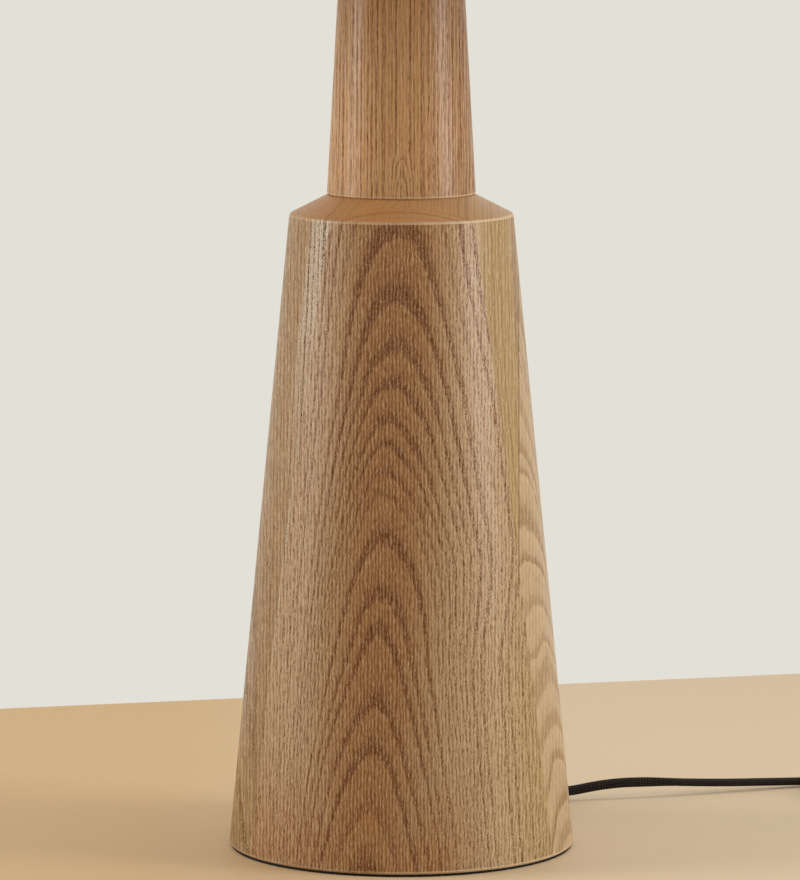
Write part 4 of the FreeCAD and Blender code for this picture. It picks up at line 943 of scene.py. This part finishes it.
class LAMP_OT_shade(bpy.types.Operator):
    """Linen shade with rolled edges, its liner, and the wire spider and rings that hold it"""
    bl_idname = "lamp.shade"
    bl_label = "Shade"

    def execute(self, context):
        settings = context.scene.lamp_shade
        fabric = linen(settings)
        cloth = new_piece("linen_shade", cloth_mesh(settings), fabric, "shade", "shade_linen",
                          "shade_fabric")
        for end, *edge in (("top", SHADE_TOP, 1, TOP_RADIUS),
                           ("bottom", SHADE_BOTTOM, -1, BOTTOM_RADIUS)):
            name = "rolled_edge_" + end
            new_piece(name, trim_mesh(settings, name, *edge), fabric, "shade",
                                   "shade_linen", "shade_trim_" + end)
        # Styrene liner film: smooth, faintly cloudy, a little light passes through it
        dress(surface("styrene_film", settings.liner, (40, 3, settings.cloth),
                      relief=(40, 3, 0.1, 0.5 * MM), Roughness=0.45, IOR=1.59,
                      Transmission_Weight=0.12), "shade_liner")
        # White powder coat on wire, with a fine orange peel
        peel = 1 / (1.2 * MM)
        dress(surface("white_powder_coat", settings.wire, gloss=(peel, 2, 0.32, 0.42),
                      relief=(peel, 2, 0.3, 0.1 * MM), IOR=1.5), "shade_spider", "shade_bottom_ring")
        return {"FINISHED"}


# Metal fittings

# The finial, from its foot up, and its blind thread hole: radius and height in millimetres
FINIAL_FOOT, FINIAL_BALL, BALL_RADIUS = 754.3, 18.5, 8.5
FINIAL = [(3.45, 0), (5.9, 0), (6.5, 0.5), (6.5, 2.4), (6.1, 3.0), (6.4, 3.4), (6.1, 3.9),
          (4.9, 4.3), (4.5, 5.6), (4.5, 7.4), (4.9, 8.6), (5.7, 9.1), (5.7, 9.9), (5.0, 10.3)]
FINIAL_HOLE = [(1.7, 26.85), (1.2, 26.98), (0, 27), (0, 15), (3, 14.2), (3.45, 0)]
# The ball from where it leaves its neck, 10.6 mm up, to near its top, in degrees
BALL_FROM, BALL_TO, BALL_STEPS = math.degrees(math.asin((10.6 - FINIAL_BALL) / BALL_RADIUS)), 78, 20


def metal(name, tone, roughness, turned_marks=True, thread=None):
    """Plated or lacquered metal. Turned marks run round the lamp's axis, and a thread climbs it."""
    material, put, places = new_material(name)
    place = places["Object"]
    x, y, height = put("SPLIT", place).outputs
    if turned_marks:
        lines = put("JOIN", put("REACH", put("JOIN", x, y)), height)
    else:
        lines = put("STRETCH", place, (1, 1, 0.12))
    marks = put("NOISE", lines, 1 / (0.25 * MM), 3)
    stains = put("NOISE", place, 45, 4)
    colours = put("TINT", stains, tone, times(tone, 0.8))
    gloss = put("RANGE", put("+", marks, stains), 0.6, 1.4, roughness - 0.07, roughness + 0.09)
    relief = put("BUMP", marks, 0.2, 0.05 * MM)
    if thread:
        # The thread's crest climbs by its pitch in each turn about the lamp's axis
        angle = put("ARCTAN2", y, x)
        crest = put("SINE", put("*+", height, FULL_TURN / (thread * MM), angle))
        relief = put("BUMP", crest, 1, 0.15 * thread * MM, relief)
        # The thread's grooves are darkened: painted shade
        colours = put("TINT", put("RANGE", crest, -1, 0.2, 0.55, 0), colours, times(tone, 0.35))
    return finish(material, Metallic=1, Base_Color=colours, Roughness=gloss, Normal=relief)


class LAMP_OT_pipe(bpy.types.Operator):
    """The threaded steel pipe, with the washer and nut in the recess under the foot"""
    bl_idname = "lamp.pipe"
    bl_label = "Pipe, washer and nut"

    def execute(self, context):
        steel = context.scene.lamp_fittings.steel
        dress(metal("zinc_plated_pipe", steel, 0.38, thread=1), "lamp_pipe")
        dress(metal("zinc_plated_steel", steel, 0.36), "foot_washer", "foot_nut", "holder_set_screw")
        return {"FINISHED"}


class LAMP_OT_harp(bpy.types.Operator):
    """The harp with its ferrules, saddle, swivel stud and finial, and the cap on the neck"""
    bl_idname = "lamp.harp"
    bl_label = "Harp, neck cap and finial"

    def execute(self, context):
        brass = context.scene.lamp_fittings.brass
        turned_brass = metal("satin_lacquered_brass", brass, 0.3)
        dress(turned_brass, "neck_cap", "lock_nut")
        dress(metal("brass_plated_wire", brass, 0.27, False), "harp", "harp_ferrules", "harp_saddle")
        dress(metal("threaded_brass_stud", brass, 0.32, thread=0.94), "harp_stud")
        ball = [math.radians(BALL_FROM + (BALL_TO - BALL_FROM) * step / BALL_STEPS)
                for step in range(BALL_STEPS + 1)]
        outline = FINIAL + [(BALL_RADIUS * math.cos(angle), FINIAL_BALL + BALL_RADIUS
                             * math.sin(angle)) for angle in ball] + FINIAL_HOLE
        outline = [(radius, FINIAL_FOOT + height) for radius, height in outline]
        new_piece("turned_finial", skin("turned_finial", lathe(outline, 64)), turned_brass,
                  "finial", "brass", "finial")
        return {"FINISHED"}


# Lamp holder

# Foot, rim, radius and plain margin of the threaded shell and of the bulb's base, in millimetres,
# and the hole in the base's floor
SHELL = (590.3, 609.3, 13.85, 1.5)
BASE, BASE_HOLE = (596.7, 618.7, 12.85, 2.4), 3
THREAD_WALL, THREAD_FADE, THREAD_ROW, THREAD_AROUND = 0.5, 1.2, 0.3, 64
KNOB_PLACE = Vector((0, -20.4, 577.3)) * MM
# Radius and reach from the knob's back, in millimetres, with the spindle's hole
KNOB = [(1.6, 0), (4.9, 0), (5.5, 0.4), (5.55, 1.2), (5.2, 1.7), (5.2, 13.4), (5.5, 13.9),
        (5.5, 14.4), (5.0, 14.85), (4.0, 15), (3.6, 14.7), (0, 14.7), (0, 10), (1.6, 10), (1.6, 0)]
# Flutes: reach of their middle, in millimetres
FLUTE_MIDDLE = 7.55


def threaded(name, settings, foot, rim, middle, margin, hole=None):
    """A thin shell with a rolled round thread: its wall's middle radius follows the helix."""
    rows = round((rim - foot) / THREAD_ROW)
    heights = [foot + (rim - foot) * row / rows for row in range(rows + 1)]
    pitch, depth = settings.pitch / MM, settings.thread_depth / MM
    rings = []
    walls = [(0, height) for height in heights] + [(1, height) for height in reversed(heights)]
    for inner, height in walls:
        fade = min(come(height, foot + margin, foot + margin + THREAD_FADE),
                   come(height, rim - margin, rim - margin - THREAD_FADE))
        rings.append([polar(middle + fade * math.sin(FULL_TURN * height / pitch - turn) * depth / 2
                            - THREAD_WALL * inner, turn, height) * MM
                      for turn in turns(THREAD_AROUND)])
    if hole:
        # A floor with a round hole, and the same floor inside
        rings += lathe([(hole, foot + THREAD_WALL), (hole, foot)], THREAD_AROUND)
    return skin(name, rings + rings[:1], smooth_angle=60)


def vulcanised_fibre(tone):
    """Vulcanised fibre board: grey, with short pale fibres all over."""
    material, put, places = new_material("vulcanised_fibre")
    fibres = put("NOISE", places["Object"], 900, 4)
    both = put("*", fibres, put("NOISE", places["Object"], 120, 2))
    return finish(material, Roughness=0.75, Normal=put("BUMP", fibres, 0.3, 0.1 * MM),
                  Base_Color=put("TINT", put("RANGE", both, 0.15, 0.4), tone, times(tone, 1.5)))


def flutes(put, entry):
    """Round bars let into the knob's side, so many in a circle."""
    circle = put("GeometryNodeMeshCircle", sockets={
        "Vertices": entry["Flutes"], "Radius": entry["Radius"]})
    middle = put("GeometryNodeTransform", circle, sockets={"Translation": (0, 0, FLUTE_MIDDLE * MM)})
    bar = put("GeometryNodeMeshCylinder", sockets={
        "Vertices": 10, "Radius": entry["Bar"], "Depth": entry["Length"]})
    return put("GeometryNodeInstanceOnPoints", sockets={"Points": middle, "Instance": bar})


class LAMP_OT_holder(bpy.types.Operator):
    """The lamp holder: cap, shell, liner, switch block, threaded shell, contact, leads and screws"""
    bl_idname = "lamp.holder"
    bl_label = "Lamp holder"

    def execute(self, context):
        settings = context.scene.lamp_fittings
        dress(metal("satin_brass_holder", settings.brass, 0.32), "holder_cap", "holder_shell",
              "centre_contact", "terminal_screws", "switch_spindle")
        dress(vulcanised_fibre(settings.fibre), "holder_liner")
        dress(moulded("dark_phenolic", settings.phenolic, 0.4, 0.8), "switch_block")
        dress(moulded("pvc_wire_insulation", settings.lead, 0.42, 0.5), "conductors")
        mesh = threaded("screw_shell_thread", context.scene.lamp_bulb, *SHELL)
        new_piece("threaded_shell", mesh, metal("drawn_brass_shell", settings.brass, 0.34), "root",
                  "brass", "screw_shell")
        return {"FINISHED"}


class LAMP_OT_knob(bpy.types.Operator):
    """The rotary switch knob, with grip ridges all round"""
    bl_idname = "lamp.knob"
    bl_label = "Switch knob"

    def execute(self, context):
        settings = context.scene.lamp_fittings
        plastic = moulded("black_phenolic_knob", settings.knob, 0.35, 0.5)
        inputs = {"Flutes": settings.flutes, "Radius": 5.2 * MM, "Bar": 0.55 * MM,
                  "Length": 11.4 * MM}
        mesh = grown_mesh("fluted_knob", skin("switch_knob", lathe(KNOB, 48)), plastic, inputs,
                          flutes)
        mesh.transform(Matrix.Translation(KNOB_PLACE) @ Matrix.Rotation(math.pi / 2, 4, "X"))
        new_piece("fluted_knob", mesh, None, "knob", "knob_plastic", "switch_knob")
        return {"FINISHED"}


# Bulb

class LAMP_OT_bulb(bpy.types.Operator):
    """The globe bulb: frosted glass, threaded base, contact and the mount with its filament"""
    bl_idname = "lamp.bulb"
    bl_label = "Bulb"

    def execute(self, context):
        settings = context.scene.lamp_bulb
        base = threaded("bulb_base_thread", settings, *BASE, BASE_HOLE)
        new_piece("threaded_base", base, metal("drawn_aluminium", settings.base, 0.3), "bulb",
                  "bulb_metal", "bulb_base")
        dress(metal("tinned_contact", settings.base, 0.4), "bulb_contact")
        dress(metal("drawn_tungsten", settings.tungsten, 0.45, False), "bulb_filament")
        # Soda-lime glass with a white coat inside: milky, with a clear gloss on top
        dress(surface("frosted_soda_lime_glass", settings.globe, (30, 3, times(settings.globe, 0.93)),
                      (1500, 2, 0.4, 0.55), (1500, 2, 0.1, 0.05 * MM), IOR=1.52, Coat_Weight=0.6,
                      Coat_Roughness=0.08, Transmission_Weight=0.25), "bulb_glass")
        # Black vitrite between the base and its contact: glossy, with flow marks
        dress(surface("black_vitrite", settings.vitrite, gloss=(250, 3, 0.08, 0.22),
                      relief=(250, 3, 0.2, 0.2 * MM), IOR=1.55), "bulb_insulator")
        # Pressed lead-free glass of the mount: clear, with a faint green edge
        red, green, blue, _ = settings.globe
        greenish = (0.9 * red, green, 0.94 * blue, 1)
        dress(surface("clear_mount_glass", settings.globe, (180, 2, greenish),
                      relief=(180, 2, 0.15, 0.4 * MM), IOR=1.52, Roughness=0.03,
                      Transmission_Weight=0.95), "bulb_stem")
        return {"FINISHED"}


class LAMP_PT_panel(bpy.types.Panel):
    """Sizes and colours of the lamp, and its pieces"""
    bl_idname = "LAMP_PT_panel"
    bl_label = "Column Table Lamp"
    bl_space_type = "VIEW_3D"
    bl_region_type = "UI"
    bl_category = "Lamp"

    def draw(self, context):
        for operator in OPERATORS:
            self.layout.operator(operator.bl_idname)
        for name in SETTINGS:
            group = getattr(context.scene, name)
            box = self.layout.box()
            for key in group.bl_rna.properties.keys():
                if key not in {"rna_type", "name"}:
                    box.prop(group, key)


OPERATORS = (LAMP_OT_stage, LAMP_OT_oak, LAMP_OT_foot, LAMP_OT_plug, LAMP_OT_cord, LAMP_OT_pipe,
             LAMP_OT_harp, LAMP_OT_holder, LAMP_OT_knob, LAMP_OT_bulb, LAMP_OT_shade)
SETTINGS = {
    "lamp_stage": StageSettings,
    "lamp_oak": OakSettings,
    "lamp_cord": CordSettings,
    "lamp_shade": ShadeSettings,
    "lamp_fittings": FittingSettings,
    "lamp_bulb": BulbSettings,
}


CLASSES = (*SETTINGS.values(), *OPERATORS, LAMP_PT_panel)


def register():
    for kind in CLASSES:
        bpy.utils.register_class(kind)
    for name, kind in SETTINGS.items():
        setattr(bpy.types.Scene, name, PointerProperty(type=kind))


def unregister():
    for name in SETTINGS:
        delattr(bpy.types.Scene, name)
    for kind in reversed(CLASSES):
        bpy.utils.unregister_class(kind)


def main():
    register()
    for operator in OPERATORS:
        getattr(bpy.ops.lamp, operator.bl_idname.split(".")[1])()


if __name__ == "__main__":
    main()
